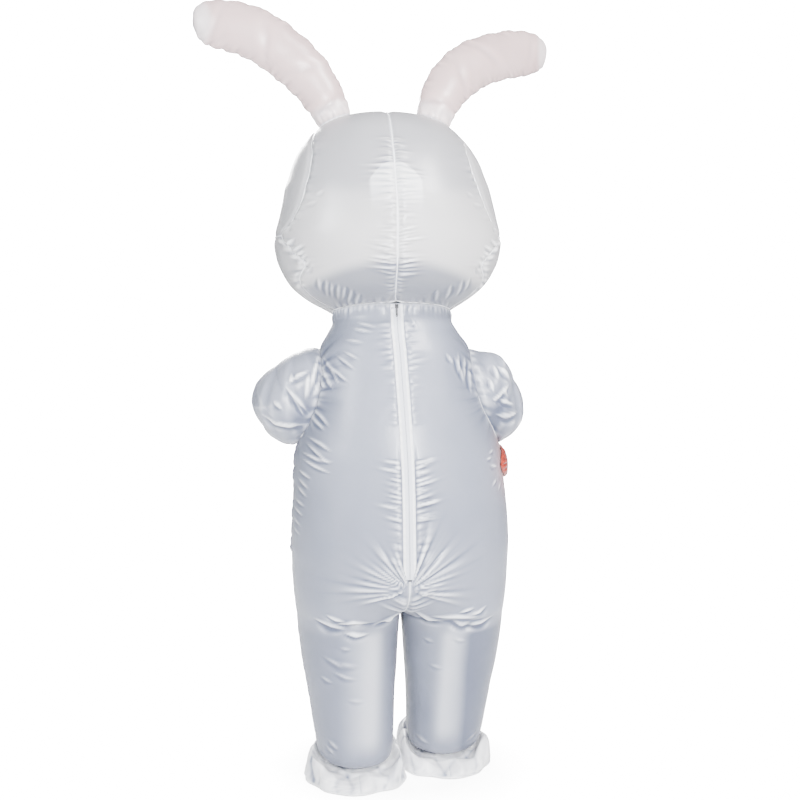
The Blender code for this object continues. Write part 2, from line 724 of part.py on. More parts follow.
def plug(name, sheets, group):
    """A closed solid inside the given outer surfaces, for cutting what lands on them."""
    mesh = bmesh.new()
    for sheet in sheets:
        sheet.skin()
        points = {v: mesh.verts.new(v.co) for v in sheet.mesh.verts}
        for face in sheet.mesh.faces:
            mesh.faces.new([points[v] for v in face.verts])
        sheet.mesh.free()
    bmesh.ops.remove_doubles(mesh, verts=mesh.verts, dist=2e-5)
    bmesh.ops.holes_fill(mesh, edges=mesh.edges, sides=0)
    return helper(name, closed(mesh), group)


def tube(name, face, first, last, around, shrink, group):
    """A closed tube inside a sleeve or an ear, for cutting the hole that it opens on."""
    mesh = bmesh.new()
    rings = np.linspace(first, last, int(round((last - first) * 2)) + 1)
    loops = []
    for ring in rings:
        loop = []
        for k in range(around):
            here, normal = face(k / around, ring)
            loop.append(mesh.verts.new(here - normal * shrink))
        loops.append(loop)
    for low, high in zip(loops, loops[1:]):
        for k in range(around):
            n = (k + 1) % around
            mesh.faces.new([low[k], low[n], high[n], high[k]])
    mesh.faces.new(loops[0])
    mesh.faces.new(loops[-1])
    return helper(name, closed(mesh), group)


def disc(point, centre, spread, rings, around, low, high, hole=0.0):
    """A round plate that follows a surface, from low to high above it."""
    mesh = bmesh.new()
    layers = []
    for lift in (high, low):
        rows = []
        for r in np.linspace(hole, 1, rings + 1):
            row = []
            for k in range(around):
                angle = 2 * math.pi * k / around
                a = centre[0] + spread[0] * r * math.cos(angle)
                b = centre[1] + spread[1] * r * math.sin(angle)
                here, normal = point(a, b)
                row.append(mesh.verts.new(here + normal * lift))
            rows.append(row)
        for inner, outer in zip(rows, rows[1:]):
            for k in range(around):
                n = (k + 1) % around
                mesh.faces.new([inner[k], outer[k], outer[n], inner[n]])
        layers.append(rows)
    for edge in (-1,) if hole == 0 else (-1, 0):
        top, bottom = layers[0][edge], layers[1][edge]
        for k in range(around):
            n = (k + 1) % around
            mesh.faces.new([top[k], bottom[k], bottom[n], top[n]])
    return closed(mesh)


def build_body(group, helpers, cloth):
    pieces, plugs = {}, []
    for side, side_name in ((LEFT, "left"), (RIGHT, "right")):
        for face_sign, face_name in ((BACK, "back"), (FRONT, "front")):
            face = BodyFace(side, face_sign)
            rows_of = lambda t: body_rows(t, side, face_sign)
            columns = BACK_T if face_sign == BACK else FRONT_T
            sheet = Sheet(face, columns, rows_of, (True, True, True, False))
            name = f"body_{face_name}_{side_name}"
            pieces[name] = place_object(name, sheet.solid(), group, cloth)
            plain = lambda t: [r for r in rows_of(t) if 1 <= r <= 10]
            plugs.append(Sheet(face, columns, plain, (False,) * 4, lift=LIFT, wall=0))
    return pieces, plug("cut_torso", plugs, helpers)


def head_seam(s):
    return SIDE_SEAM.at("turn", s)


def head_rows(s_from, s_to, extra=()):
    base = [row[0] for row in HEAD_ROWS] + [0.335]
    base = [s for s in base if s_from < s < s_to]
    extra = [s for s in extra if s_from + 1e-6 < s < s_to - 1e-6]
    return merged(base, extra + [s_from, s_to], HEAD_ROW_SPACE)


def build_head(group, helpers, cloth):
    pieces, plugs = {}, []
    centre_rows = gather_rows(HEAD_CENTRE_GATHERS)
    side_rows = [CHEEK_S, SIDE_TIP_S] + gather_rows(HEAD_SIDE_GATHERS)
    for side, side_name in ((LEFT, "left"), (RIGHT, "right")):
        back = HeadFace(side, lambda s: 0.0, head_seam,
                        {0: HEAD_CENTRE_GATHERS, 1: HEAD_SIDE_GATHERS})
        front = HeadFace(side, lambda s: 180.0, lambda s: 180 - head_seam(s))
        upper = HeadFace(side, head_seam, lambda s: 180 - head_seam(s))
        cheek = HeadFace(side, head_seam, lambda s: 180 - head_seam(s), {0: HEAD_SIDE_GATHERS})

        def back_rows(u):
            extra = (centre_rows if u <= 0.06 else []) + (side_rows if u >= 0.94 else [])
            return head_rows(0, 1, extra)

        def front_rows(u):
            return head_rows(0, 1, side_rows if u >= 1 else [])

        def upper_rows(u):
            return head_rows(CHEEK_S, SIDE_TIP_S)

        def cheek_rows(u):
            return head_rows(0, CHEEK_S, side_rows if u <= 0.15 or u >= 1 else [])

        plans = (
            (f"head_back_{side_name}", back, HEAD_U, back_rows, (True, True, True, False)),
            (f"head_front_{side_name}", front, FACE_U, front_rows, (True, True, True, False)),
            (f"head_side_{side_name}", upper, SIDE_U, upper_rows, (True, True, True, False)),
            (f"head_cheek_{side_name}", cheek, SIDE_U, cheek_rows, (True, True, True, True)),
        )
        for name, face, columns, rows_of, seams in plans:
            sheet = Sheet(face, columns, rows_of, seams)
            pieces[name] = place_object(name, sheet.solid(), group, cloth)
            plugs.append(Sheet(face, columns, rows_of, (False,) * 4, lift=LIFT, wall=0))
    return pieces, plug("cut_head", plugs, helpers)


def build_sleeves(group, helpers, cloth, band, torso, body):
    for side, side_name in ((LEFT, "left"), (RIGHT, "right")):
        face = SleeveFace(side)
        last = SLEEVE_ROWS[-1][0]
        rings = [i / 2 for i in range(2 * last + 1)]
        rings = [r for r in rings if 2 <= r <= 5 or r == int(r)]
        columns = [k / SLEEVE_AROUND for k in range(SLEEVE_AROUND + 1)]
        sheet = Sheet(face, columns, lambda u: rings, (True, True, False, False))
        sleeve = place_object(f"sleeve_{side_name}", sheet.solid(), group, cloth)
        cut(sleeve, torso)
        hole = tube(f"cut_armhole_{side_name}", lambda u, r: (face.point(u, r), face.normal(u, r)),
                    0.2, 5, SLEEVE_AROUND, WALL, helpers)
        cut(body[f"body_back_{side_name}"], hole)
        cut(body[f"body_front_{side_name}"], hole)
        build_cuff(f"cuff_{side_name}", face, last, group, band)


def build_cuff(name, face, ring, group, band):
    """An elastic band that carries on from the sleeve's end."""
    start = face.centre(ring)
    yaw = math.radians(SLEEVE.at("yaw", ring))
    along = np.array([face.side * math.cos(yaw), -math.sin(yaw), 0])
    side = np.array([face.side * math.sin(yaw), math.cos(yaw), 0])
    up = np.array([0, 0, 1.0])
    mesh = bmesh.new()
    profile = (
        (SEAM_GAP, CUFF_RADIUS), (CUFF_LENGTH, CUFF_RADIUS - 0.001),
        (CUFF_LENGTH, CUFF_RADIUS - 0.003), (SEAM_GAP, CUFF_RADIUS - WALL),
    )
    loops = []
    for distance, radius in profile:
        loop = []
        for k in range(CUFF_AROUND):
            angle = 2 * math.pi * k / CUFF_AROUND
            out = side * math.cos(angle) + up * math.sin(angle)
            loop.append(mesh.verts.new(start + along * distance + out * radius))
        loops.append(loop)
    for low, high in zip(loops, loops[1:] + loops[:1]):
        for k in range(CUFF_AROUND):
            n = (k + 1) % CUFF_AROUND
            mesh.faces.new([low[k], low[n], high[n], high[k]])
    place_object(name, closed(mesh), group, band)


def build_ears(group, helpers, cloth, pink, head_plug, head):
    for side, side_name in ((LEFT, "left"), (RIGHT, "right")):
        edge_rows = [1.5 + i * 9 / 20 for i in range(21)]
        for face_sign, face_name in ((BACK, "back"), (FRONT, "front")):
            face = EarFace(side, face_sign)
            last = int(face.last)

            def rows_of(u):
                extra = edge_rows if u <= 0 or u >= 1 else []
                base = [i for i in range(last + 1)]
                return merged(base, extra + [0, last], EAR_ROW_SPACE)

            sheet = Sheet(face, EAR_U, rows_of, (True, True, False, False), wall=WALL)
            name = f"ear_{side_name}_{face_name}"
            material = pink if face_sign == FRONT else cloth
            piece = place_object(name, sheet.solid(), group, material)
            cut(piece, head_plug)
        back, front = EarFace(side, BACK), EarFace(side, FRONT)

        def around(u, ring):
            face, share = (back, u * 2) if u < 0.5 else (front, 2 - u * 2)
            wide, deep = face.frame(ring)
            angle = math.pi * share
            out = wide * math.cos(angle) + deep * face.face * math.sin(angle)
            return face.point(share, ring), unit(out)

        hole = tube(f"cut_ear_hole_{side_name}", around, 0.1, 4, 24, WALL + 0.0005, helpers)
        for panel in ("back", "side", "front"):
            cut(head[f"head_{panel}_{side_name}"], hole)


def head_film_point(turn, s):
    """The head's surface across the centre front, with turn past 180 on the other side."""
    if turn > 180:
        return head_point(RIGHT, 360 - turn, s), head_normal(RIGHT, 360 - turn, s)
    return head_point(LEFT, turn, s), head_normal(LEFT, turn, s)


def build_window(group, helpers, film, head):
    centre, spread = (180, 0.335), (22, 0.095)
    hole = helper("cut_window", disc(head_film_point, centre, spread, 1, 24, -0.02, 0.02), helpers)
    cut(head["head_front_left"], hole)
    cut(head["head_front_right"], hole)
    wider = (spread[0] + FILM_OVERLAP[0], spread[1] + FILM_OVERLAP[1])
    mesh = disc(head_film_point, centre, wider, 3, 18, PATCH_LIFT, PATCH_LIFT + FILM_WALL)
    place_object("head_window", mesh, group, film)


def side_patch_point(across, level):
    """The body's right side: across is positive on the back panel and negative on the front."""
    face = BodyFace(RIGHT, BACK if across > 0 else FRONT)
    return face.point(abs(across), level), face.normal(abs(across), level)


def build_patch(group, orange):
    mesh = disc(side_patch_point, (-0.17, 7.25), (0.235, 0.62), 3, 18,
                PATCH_LIFT, PATCH_LIFT + WALL * 0.6)
    place_object("patch_orange", mesh, group, orange)


class ZipFace:
    """A narrow strip up the centre back: u is the distance from the centre in metres."""

    def __init__(self, side):
        self.side = side
        self.face = BodyFace(side, BACK)

    def share(self, u, level):
        half = BODY.at("half_width", level)
        return math.acos((max(u, 0) / half) ** (1 / SQUARENESS)) / (math.pi / 2)

    def point(self, u, level):
        if u < 0:
            here = self.face.point(self.share(-u, level), level)
            here[0] = 2 * BODY.at("lean", level) - here[0]
            return here
        return self.face.point(self.share(u, level), level)

    def normal(self, u, level):
        return self.face.normal(1, level)

    def relief(self, u, level):
        return 0.0


def zip_rows(first):
    rows = [r / 2 for r in range(24) if first + 0.1 < r / 2 < ZIP_LEVEL - 0.05]
    return [first] + rows + [ZIP_LEVEL]


def build_zip(group, tape, coil, metal):
    rows = zip_rows(0.10)
    for side, side_name in ((LEFT, "left"), (RIGHT, "right")):
        sheet = Sheet(ZipFace(side), (TAPE_INNER, TAPE_OUTER), lambda u: rows,
                      (False,) * 4, lift=TAPE_LIFT + TAPE_WALL, wall=TAPE_WALL)
        place_object(f"zip_tape_{side_name}", sheet.solid(), group, tape)
    rows = zip_rows(0.12)
    sheet = Sheet(ZipFace(LEFT), (-COIL_HALF, COIL_HALF), lambda u: rows,
                  (False,) * 4, lift=TAPE_LIFT + COIL_WALL, wall=COIL_WALL)
    place_object("zip_coil", sheet.solid(), group, coil)
    build_stop(group, metal)
    build_slider(group, metal)


def slope_frame(level, lift):
    """A place over the coil, and the lean of the zip there about X."""
    face = BodyFace(LEFT, BACK)
    here = face.point(1, level) + face.normal(1, level) * lift
    normal = face.normal(1, level)
    lean = math.atan2(normal[2], normal[1])
    here[2] += FLOOR
    return here, lean


def box_into(mesh, low, high):
    size = [(b - a) for a, b in zip(low, high)]
    middle = [(a + b) / 2 for a, b in zip(low, high)]
    made = bmesh.ops.create_cube(mesh, size=1)["verts"]
    for v in made:
        v.co = [c * s + m for c, s, m in zip(v.co, size, middle)]


def plate(name, low, high, group):
    mesh = bmesh.new()
    box_into(mesh, low, high)
    return place_object(name, mesh, group, None, smooth=False, location=(0, 0, 0))


def join(main, others):
    for other in others:
        cut(main, other, "UNION")
        other.display_type = "WIRE"
        other.hide_render = True


def bevel(piece, width):
    modifier = piece.modifiers.new("edges", "BEVEL")
    modifier.width = width
    modifier.segments = 1
    modifier.limit_method = "ANGLE"


def rod(name, radius, length, middle, axis, group):
    """A round bar along one axis, centred at middle."""
    mesh = bmesh.new()
    bmesh.ops.create_cone(mesh, cap_ends=True, segments=16, radius1=radius,
                          radius2=radius, depth=length)
    for v in mesh.verts:
        x, y, z = v.co
        turned = {"X": (z, y, x), "Y": (x, z, y), "Z": (x, y, z)}[axis]
        v.co = [c + m for c, m in zip(turned, middle)]
    piece = place_object(name, closed(mesh), group, None, location=(0, 0, 0))
    piece.display_type = "WIRE"
    piece.hide_render = True
    return piece


def build_stop(group, metal):
    """The metal stop at the zip's lower end, over both halves of the coil."""
    here, lean = slope_frame(ZIP_LEVEL, 0)
    mesh = bmesh.new()
    low = TAPE_LIFT + TAPE_WALL + LIFT
    box_into(mesh, (-0.005, low, -0.0045), (0.005, low + 0.0024, -0.0008))
    stop = place_object("zip_stop", mesh, group, metal, smooth=False, location=here)
    stop.rotation_euler = (lean, 0, 0)
    bevel(stop, 0.0005)


def build_slider(group, metal):
    """Slider plate with side flanges and a bridge pin, and the pull that hangs on the pin."""
    here, lean = slope_frame(SLIDER_LEVEL, TAPE_LIFT)
    helpers = bpy.data.collections["cutters"]
    top = COIL_WALL + LIFT
    plate_top = top + 0.0012
    pin_y = plate_top + PIN_HEIGHT
    half = SLIDER_LENGTH / 2
    mesh = bmesh.new()
    box_into(mesh, (-SLIDER_HALF, top, -half), (SLIDER_HALF, plate_top, half))
    slider = place_object("zip_slider", mesh, group, metal, smooth=False, location=here)
    slider.rotation_euler = (lean, 0, 0)
    post_in = TAB_HALF + 0.0004
    post_out = post_in + 0.0012
    extras = []
    for side in (LEFT, RIGHT):
        flange = sorted((side * (COIL_HALF + LIFT), side * SLIDER_HALF))
        post = sorted((side * post_in, side * post_out))
        extras.append(plate(f"add_flange_{side}", (flange[0], TAPE_WALL + LIFT, -half),
                            (flange[1], top + 0.0005, half), helpers))
        extras.append(plate(f"add_post_{side}", (post[0], plate_top - 0.0005, -0.0018),
                            (post[1], pin_y + 0.0014, 0.0018), helpers))
    extras.append(rod("add_pin", PIN_RADIUS, 2 * post_out - 0.0004, (0, pin_y, 0), "X", helpers))
    for extra in extras:
        extra.location = here
        extra.rotation_euler = (lean, 0, 0)
    join(slider, extras)
    build_pull(group, helpers, metal, here, lean, pin_y)


def build_pull(group, helpers, metal, here, lean, pin_y):
    """A flat tab with a barrel that turns on the pin and a hole near its free end."""
    up = np.array([0, math.cos(lean), math.sin(lean)])
    location = here + up * pin_y
    mesh = bmesh.new()
    outline = [(-TAB_HALF, -0.001), (TAB_HALF, -0.001)]
    for k in range(9):
        angle = -math.pi * k / 8
        outline.append((TAB_HALF * math.cos(angle), -TAB_LENGTH + TAB_HALF * (1 + math.sin(angle))))
    front = [mesh.verts.new((x, -TAB_WALL / 2, z)) for x, z in outline]
    back = [mesh.verts.new((x, TAB_WALL / 2, z)) for x, z in outline]
    mesh.faces.new(front)
    mesh.faces.new(back)
    for k in range(len(outline)):
        n = (k + 1) % len(outline)
        mesh.faces.new([front[k], front[n], back[n], back[k]])
    pull = place_object("zip_pull", closed(mesh), group, metal, smooth=False, location=location)
    pull.rotation_euler = (lean, 0, 0)
    barrel = rod("add_barrel", BARREL_RADIUS, 2 * TAB_HALF, (0, 0, 0), "X", helpers)
    bore = rod("cut_bore", PIN_RADIUS + TAB_PLAY, 4 * TAB_HALF, (0, 0, 0), "X", helpers)
    hole = rod("cut_tab_hole", TAB_HOLE, 0.01, (0, 0, -TAB_LENGTH + 0.0035), "Y", helpers)
    for tool, operation in ((barrel, "UNION"), (bore, "DIFFERENCE"), (hole, "DIFFERENCE")):
        tool.location = location
        tool.rotation_euler = (lean, 0, 0)
        cut(pull, tool, operation)


def build_fan(group, helpers, plastic, body):
    """A grille over a short duct, clamped in a hole of the front panel."""
    face = BodyFace(LEFT, FRONT)
    level_span = FAN_RADIUS / abs(BODY.at("side_z", FAN_LEVEL + 0.5) - BODY.at("side_z", FAN_LEVEL - 0.5))
    here, normal = face.point(FAN_T, FAN_LEVEL), face.normal(FAN_T, FAN_LEVEL)
    width = np.linalg.norm(face.point(FAN_T + 0.05, FAN_LEVEL) - face.point(FAN_T - 0.05, FAN_LEVEL)) / 0.1
    spread = (FAN_RADIUS / width, level_span)
    surface = lambda t, level: (face.point(t, level), face.normal(t, level))
    mesh = disc(surface, (FAN_T, FAN_LEVEL), spread, 2, FAN_AROUND, PATCH_LIFT, PATCH_LIFT + FAN_WALL)
    port = place_object("fan_port", mesh, group, plastic)
    heading = math.atan2(normal[1], normal[0])
    tilt = math.acos(np.clip(normal[2], -1, 1))

    def cylinder(name, radius, low, high, inner=0.0):
        made = bmesh.new()
        rims = [(radius, low), (radius, high)]
        if inner:
            rims += [(inner, high), (inner, low)]
        loops = []
        for r, z in rims:
            loops.append([
                made.verts.new((r * math.cos(2 * math.pi * k / FAN_AROUND), r * math.sin(2 * math.pi * k / FAN_AROUND), z))
                for k in range(FAN_AROUND)
            ])
        pairs = list(zip(loops, loops[1:] + loops[:1])) if inner else [(loops[0], loops[1])]
        for low_loop, high_loop in pairs:
            for k in range(FAN_AROUND):
                n = (k + 1) % FAN_AROUND
                made.faces.new([low_loop[k], low_loop[n], high_loop[n], high_loop[k]])
        if not inner:
            made.faces.new(loops[0])
            made.faces.new(loops[1])
        bmesh.ops.recalc_face_normals(made, faces=made.faces)
        piece = helper(name, made, helpers)
        piece.location = here + np.array([0, 0, FLOOR])
        piece.rotation_euler = (0, tilt, heading)
        return piece

    cut(body["body_front_left"], cylinder("cut_fan_hole", DUCT_RADIUS + 0.003, -0.03, 0.03))
    cut(port, cylinder("add_duct", DUCT_RADIUS, -DUCT_DEPTH, 0.0005, DUCT_RADIUS - DUCT_WALL), "UNION")
    for k in range(3):
        slot_half = math.sqrt(0.036 ** 2 - (abs(k - 1) * 0.020 + 0.006) ** 2)
        mesh = bmesh.new()
        box_into(mesh, ((k - 1) * 0.020 - 0.006, -slot_half, -0.02), ((k - 1) * 0.020 + 0.006, slot_half, 0.02))
        slot = helper(f"cut_fan_slot_{k}", mesh, helpers)
        slot.location = here + np.array([0, 0, FLOOR])
        slot.rotation_euler = (0, tilt, heading)
        cut(port, slot)


class ShoeFace:
    """A cloth cover from its edge on the floor up to the ankle: u runs once round."""

    def __init__(self, row):
        self.row = dict(zip(SHOE_COLUMNS, row))

    def outline(self, angle):
        row = self.row
        reach = row["heel"] if math.sin(angle) > 0 else row["toe"]
        x = row["half_width"] * math.copysign(abs(math.cos(angle)) ** 0.85, math.cos(angle))
        y = reach * math.copysign(abs(math.sin(angle)) ** 0.85, math.sin(angle))
        wave = 1 + 0.035 * math.sin(5 * angle + row["foot"]) + 0.02 * math.sin(9 * angle)
        return x * wave, y * wave

    def point(self, u, v):
        angle = 2 * math.pi * u + math.pi / 2
        x, y = self.outline(angle)
        ankle_x, ankle_y = ANKLE_RADIUS * math.cos(angle), ANKLE_RADIUS * math.sin(angle)
        toe = max(-math.sin(angle), 0) ** 0.8
        share = SHOE_PROFILE.at("share", v)
        height = (1 - toe) * SHOE_PROFILE.at("heel_z", v) + toe * SHOE_PROFILE.at("toe_z", v)
        beside = abs(math.cos(angle)) ** 3
        height += beside * (SHOE_PROFILE.at("side_z", v) - height)
        crumple = 0.003 * math.sin(7 * angle + 2 * v) * math.sin(math.pi * v) ** 2
        return np.array([
            self.row["x"] + x + (ankle_x - x) * share,
            self.row["y"] + y + (ankle_y - y) * share,
            SOLE_WALL + LIFT + WALL + height + crumple,
        ])

    def normal(self, u, v):
        low, high = max(v - 0.01, 0), min(v + 0.01, 1)
        along = self.point(u, high) - self.point(u, low)
        across = self.point(u + 0.004, v) - self.point(u - 0.004, v)
        normal = unit(np.cross(across, along))
        if v <= 0:
            normal = np.array([0, 0, 1.0])
        return normal

    def relief(self, u, v):
        return 0.0


def build_shoes(group, cloth, sole_cloth):
    for row, side_name in zip(SHOE_ROWS, ("left", "right")):
        face = ShoeFace(row)
        columns = [k / SHOE_AROUND for k in range(SHOE_AROUND + 1)]
        sheet = Sheet(face, columns, lambda u: SHOE_V, (True, True, False, False))
        place_object(f"shoe_{side_name}_upper", sheet.solid(), group, cloth)
        mesh = bmesh.new()
        loops = []
        for z in (0, SOLE_WALL):
            loop = []
            for k in range(SHOE_AROUND):
                x, y, _ = face.point(k / SHOE_AROUND, 0)
                loop.append(mesh.verts.new((x, y, z)))
            loops.append(loop)
            mesh.faces.new(loop)
        for k in range(SHOE_AROUND):
            n = (k + 1) % SHOE_AROUND
            mesh.faces.new([loops[0][k], loops[0][n], loops[1][n], loops[1][k]])
        place_object(f"shoe_{side_name}_sole", closed(mesh), group, sole_cloth, smooth=False)


def main():
    clear_scene()
    group = new_collection("rabbit_costume")
    helpers = new_collection("cutters", helpers=True)
    cloth = new_material("white_taffeta", (0.80, 0.81, 0.84), 0.35)
    pink = new_material("pink_taffeta", (0.85, 0.55, 0.55), 0.35)
    tape = new_material("zip_tape", (0.93, 0.93, 0.94), 0.7)
    coil = new_material("zip_coil", (0.90, 0.90, 0.91), 0.45)
    band = new_material("elastic", (0.82, 0.82, 0.84), 0.8)
    metal = new_material("zip_metal", (0.60, 0.60, 0.62), 0.3, metallic=1.0)
    orange = new_material("orange_taffeta", (1.0, 0.07, 0.01), 0.4)
    film = new_material("clear_film", (0.9, 0.93, 0.95), 0.1, see_through=0.9)
    plastic = new_material("fan_plastic", (0.85, 0.85, 0.86), 0.4)
    body, torso = build_body(group, helpers, cloth)
    head, head_plug = build_head(group, helpers, cloth)
    build_sleeves(group, helpers, cloth, band, torso, body)
    build_ears(group, helpers, cloth, pink, head_plug, head)
    build_window(group, helpers, film, head)
    build_patch(group, orange)
    build_zip(group, tape, coil, metal)
    build_shoes(group, cloth, cloth)
    build_fan(group, helpers, plastic, body)


main()
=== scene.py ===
"""Looks of the inflated rabbit costume: thin cloth shells with seams, puckers and folds.

Units are metres. Heights in the tables are above the floor, and every piece is placed
at FLOOR, in the frame of the CAD model.
"""

import math

import bpy
import numpy as np
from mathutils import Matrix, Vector


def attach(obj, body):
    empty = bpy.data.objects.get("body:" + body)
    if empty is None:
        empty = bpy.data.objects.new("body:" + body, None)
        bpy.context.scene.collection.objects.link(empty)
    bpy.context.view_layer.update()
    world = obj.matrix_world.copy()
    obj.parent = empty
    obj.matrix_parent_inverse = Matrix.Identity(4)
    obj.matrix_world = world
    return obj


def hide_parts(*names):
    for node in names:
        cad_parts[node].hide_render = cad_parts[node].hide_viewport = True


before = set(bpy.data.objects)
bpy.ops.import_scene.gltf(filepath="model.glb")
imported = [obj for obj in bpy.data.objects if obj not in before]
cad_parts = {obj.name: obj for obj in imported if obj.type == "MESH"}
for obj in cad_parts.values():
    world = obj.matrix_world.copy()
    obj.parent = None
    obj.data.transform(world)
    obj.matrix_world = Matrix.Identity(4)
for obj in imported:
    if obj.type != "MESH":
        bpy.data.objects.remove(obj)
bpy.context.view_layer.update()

FLOOR = -1.42
NECK_TILT = 0.030
SQUARENESS = 0.92
LEFT, RIGHT = 1, -1
BACK, FRONT = 1, -1
ZIP_END = 0.664
TAPE_INNER, TAPE_OUTER = 0.0004, 0.0185
TAPE_HEIGHT = 0.0019
COIL_HEIGHT = 0.0032
SOLE_TOP = 0.0043
SOLE_UNDER = 0.0012

# The body from the neck to the hem, row by row.
BODY_COLUMNS = (
    "level", "side_z", "seam_z", "half_width", "back", "front",
    "split", "gap", "lean", "stride", "tilt",
)
BODY_ROWS = (
    (0, 1.420, 1.420, 0.180, 0.150, 0.150, 0, 0, 0.026, 0, 1.0),
    (1, 1.395, 1.395, 0.179, 0.153, 0.153, 0, 0, 0.025, 0, 0.8),
    (2, 1.356, 1.356, 0.198, 0.169, 0.168, 0, 0, 0.024, 0, 0.5),
    (3, 1.307, 1.307, 0.226, 0.190, 0.188, 0, 0, 0.020, 0, 0.2),
    (4, 1.230, 1.230, 0.250, 0.213, 0.200, 0, 0, 0.016, 0, 0),
    (5, 1.150, 1.150, 0.268, 0.235, 0.208, 0, 0, 0.012, 0, 0),
    (6, 1.060, 1.060, 0.296, 0.254, 0.228, 0, 0, 0.008, 0, 0),
    (7, 0.985, 0.985, 0.317, 0.266, 0.250, 0, 0, 0.005, 0, 0),
    (8, 0.900, 0.900, 0.323, 0.273, 0.272, 0, 0, 0.003, 0, 0),
    (9, 0.800, 0.800, 0.331, 0.279, 0.284, 0, 0, 0.002, 0, 0),
    (10, 0.720, 0.700, 0.334, 0.282, 0.286, 0, 0, 0.001, 0, 0),
    (11, 0.672, 0.636, 0.332, 0.280, 0.282, 0, 0, 0, 0, 0),
    (12, 0.630, 0.588, 0.330, 0.274, 0.272, 0.076, 0, 0, 0, 0),
    (13, 0.590, 0.548, 0.328, 0.262, 0.258, 0.293, 0, 0, 0, 0),
    (14, 0.550, 0.516, 0.325, 0.240, 0.236, 0.617, 0, 0, 0, 0),
    (15, 0.505, 0.500, 0.321, 0.206, 0.206, 1, 0.001, 0, 0.002, 0),
    (16, 0.430, 0.430, 0.315, 0.182, 0.184, 1, 0.007, 0, 0.008, 0),
    (17, 0.350, 0.350, 0.303, 0.166, 0.168, 1, 0.013, 0, 0.016, 0),
    (18, 0.270, 0.270, 0.289, 0.153, 0.155, 1, 0.019, 0, 0.024, 0),
    (19, 0.190, 0.190, 0.277, 0.143, 0.145, 1, 0.023, 0, 0.032, 0),
    (20, 0.125, 0.125, 0.266, 0.136, 0.137, 1, 0.025, 0, 0.038, 0),
    (21, 0.085, 0.085, 0.257, 0.126, 0.127, 1, 0.029, 0, 0.042, 0),
    (22, 0.062, 0.062, 0.240, 0.108, 0.109, 1, 0.040, 0, 0.044, 0),
    (23, 0.052, 0.052, 0.218, 0.082, 0.084, 1, 0.062, 0, 0.045, 0),
    (24, 0.054, 0.054, 0.206, 0.070, 0.071, 1, 0.073, 0, 0.045, 0),
)
ZIP_LEVEL = 11 - (ZIP_END - BODY_ROWS[11][2]) / (BODY_ROWS[10][2] - BODY_ROWS[11][2])
CROTCH_LEVEL = 15
BODY_END = 24

# The head from the neck to the crown, and the seam that bounds its back panel.
HEAD_COLUMNS = ("s", "z", "half_width", "back", "front", "lean", "tilt")
HEAD_ROWS = (
    (0, 1.420, 0.180, 0.150, 0.150, 0.026, 1.0),
    (0.03, 1.430, 0.192, 0.166, 0.166, 0.030, 0.9),
    (0.08, 1.447, 0.224, 0.200, 0.204, 0.034, 0.7),
    (0.14, 1.468, 0.257, 0.235, 0.240, 0.036, 0.5),
    (0.21, 1.500, 0.293, 0.268, 0.276, 0.038, 0.3),
    (0.29, 1.537, 0.317, 0.291, 0.300, 0.038, 0.15),
    (0.38, 1.580, 0.335, 0.305, 0.316, 0.038, 0.05),
    (0.45, 1.625, 0.342, 0.311, 0.322, 0.038, 0),
    (0.50, 1.650, 0.340, 0.312, 0.322, 0.038, 0),
    (0.58, 1.700, 0.328, 0.308, 0.316, 0.038, 0),
    (0.66, 1.750, 0.316, 0.299, 0.305, 0.039, 0),
    (0.72, 1.790, 0.307, 0.288, 0.292, 0.041, 0),
    (0.77, 1.823, 0.295, 0.276, 0.279, 0.042, 0),
    (0.82, 1.860, 0.282, 0.260, 0.262, 0.043, 0),
    (0.87, 1.895, 0.264, 0.241, 0.242, 0.045, 0),
    (0.91, 1.930, 0.238, 0.216, 0.217, 0.046, 0),
    (0.945, 1.965, 0.203, 0.184, 0.184, 0.047, 0),
    (0.975, 1.993, 0.156, 0.140, 0.140, 0.047, 0),
    (0.992, 2.011, 0.088, 0.080, 0.080, 0.047, 0),
    (1, 2.018, 0.0, 0.0, 0.0, 0.047, 0),
)
SIDE_SEAM_COLUMNS = ("s", "turn")
SIDE_SEAM_ROWS = (
    (0, 80), (0.14, 70), (0.24, 62), (0.34, 50), (0.42, 60), (0.49, 70), (0.56, 60),
    (0.66, 54), (0.75, 52), (0.84, 54), (0.91, 68), (0.96, 90), (1, 90),
)
CHEEK_S = 0.49
SIDE_TIP_S = 0.96

SLEEVE_COLUMNS = ("ring", "x", "y", "z", "yaw", "half_width", "half_height", "tuck")
SLEEVE_ROWS = (
    (0, 0.170, 0.000, 1.180, 0, 0.106, 0.128, 0),
    (1, 0.215, 0.000, 1.178, 0, 0.110, 0.134, 0),
    (2, 0.262, 0.002, 1.172, 10, 0.114, 0.139, 0.003),
    (3, 0.300, -0.006, 1.164, 25, 0.114, 0.139, 0.008),
    (4, 0.331, -0.030, 1.154, 42, 0.110, 0.136, 0.016),
    (5, 0.349, -0.062, 1.146, 58, 0.104, 0.126, 0.024),
    (6, 0.354, -0.098, 1.140, 73, 0.098, 0.113, 0.028),
    (7, 0.353, -0.140, 1.138, 84, 0.091, 0.102, 0.028),
    (8, 0.350, -0.190, 1.141, 92, 0.085, 0.091, 0.028),
    (9, 0.344, -0.245, 1.147, 95, 0.078, 0.080, 0.028),
    (10, 0.338, -0.295, 1.155, 96, 0.068, 0.068, 0.028),
    (11, 0.334, -0.322, 1.160, 96, 0.052, 0.052, 0.028),
    (12, 0.333, -0.332, 1.161, 96, 0.044, 0.044, 0.028),
)
CUFF_LENGTH = 0.035
CUFF_RADIUS = 0.0437

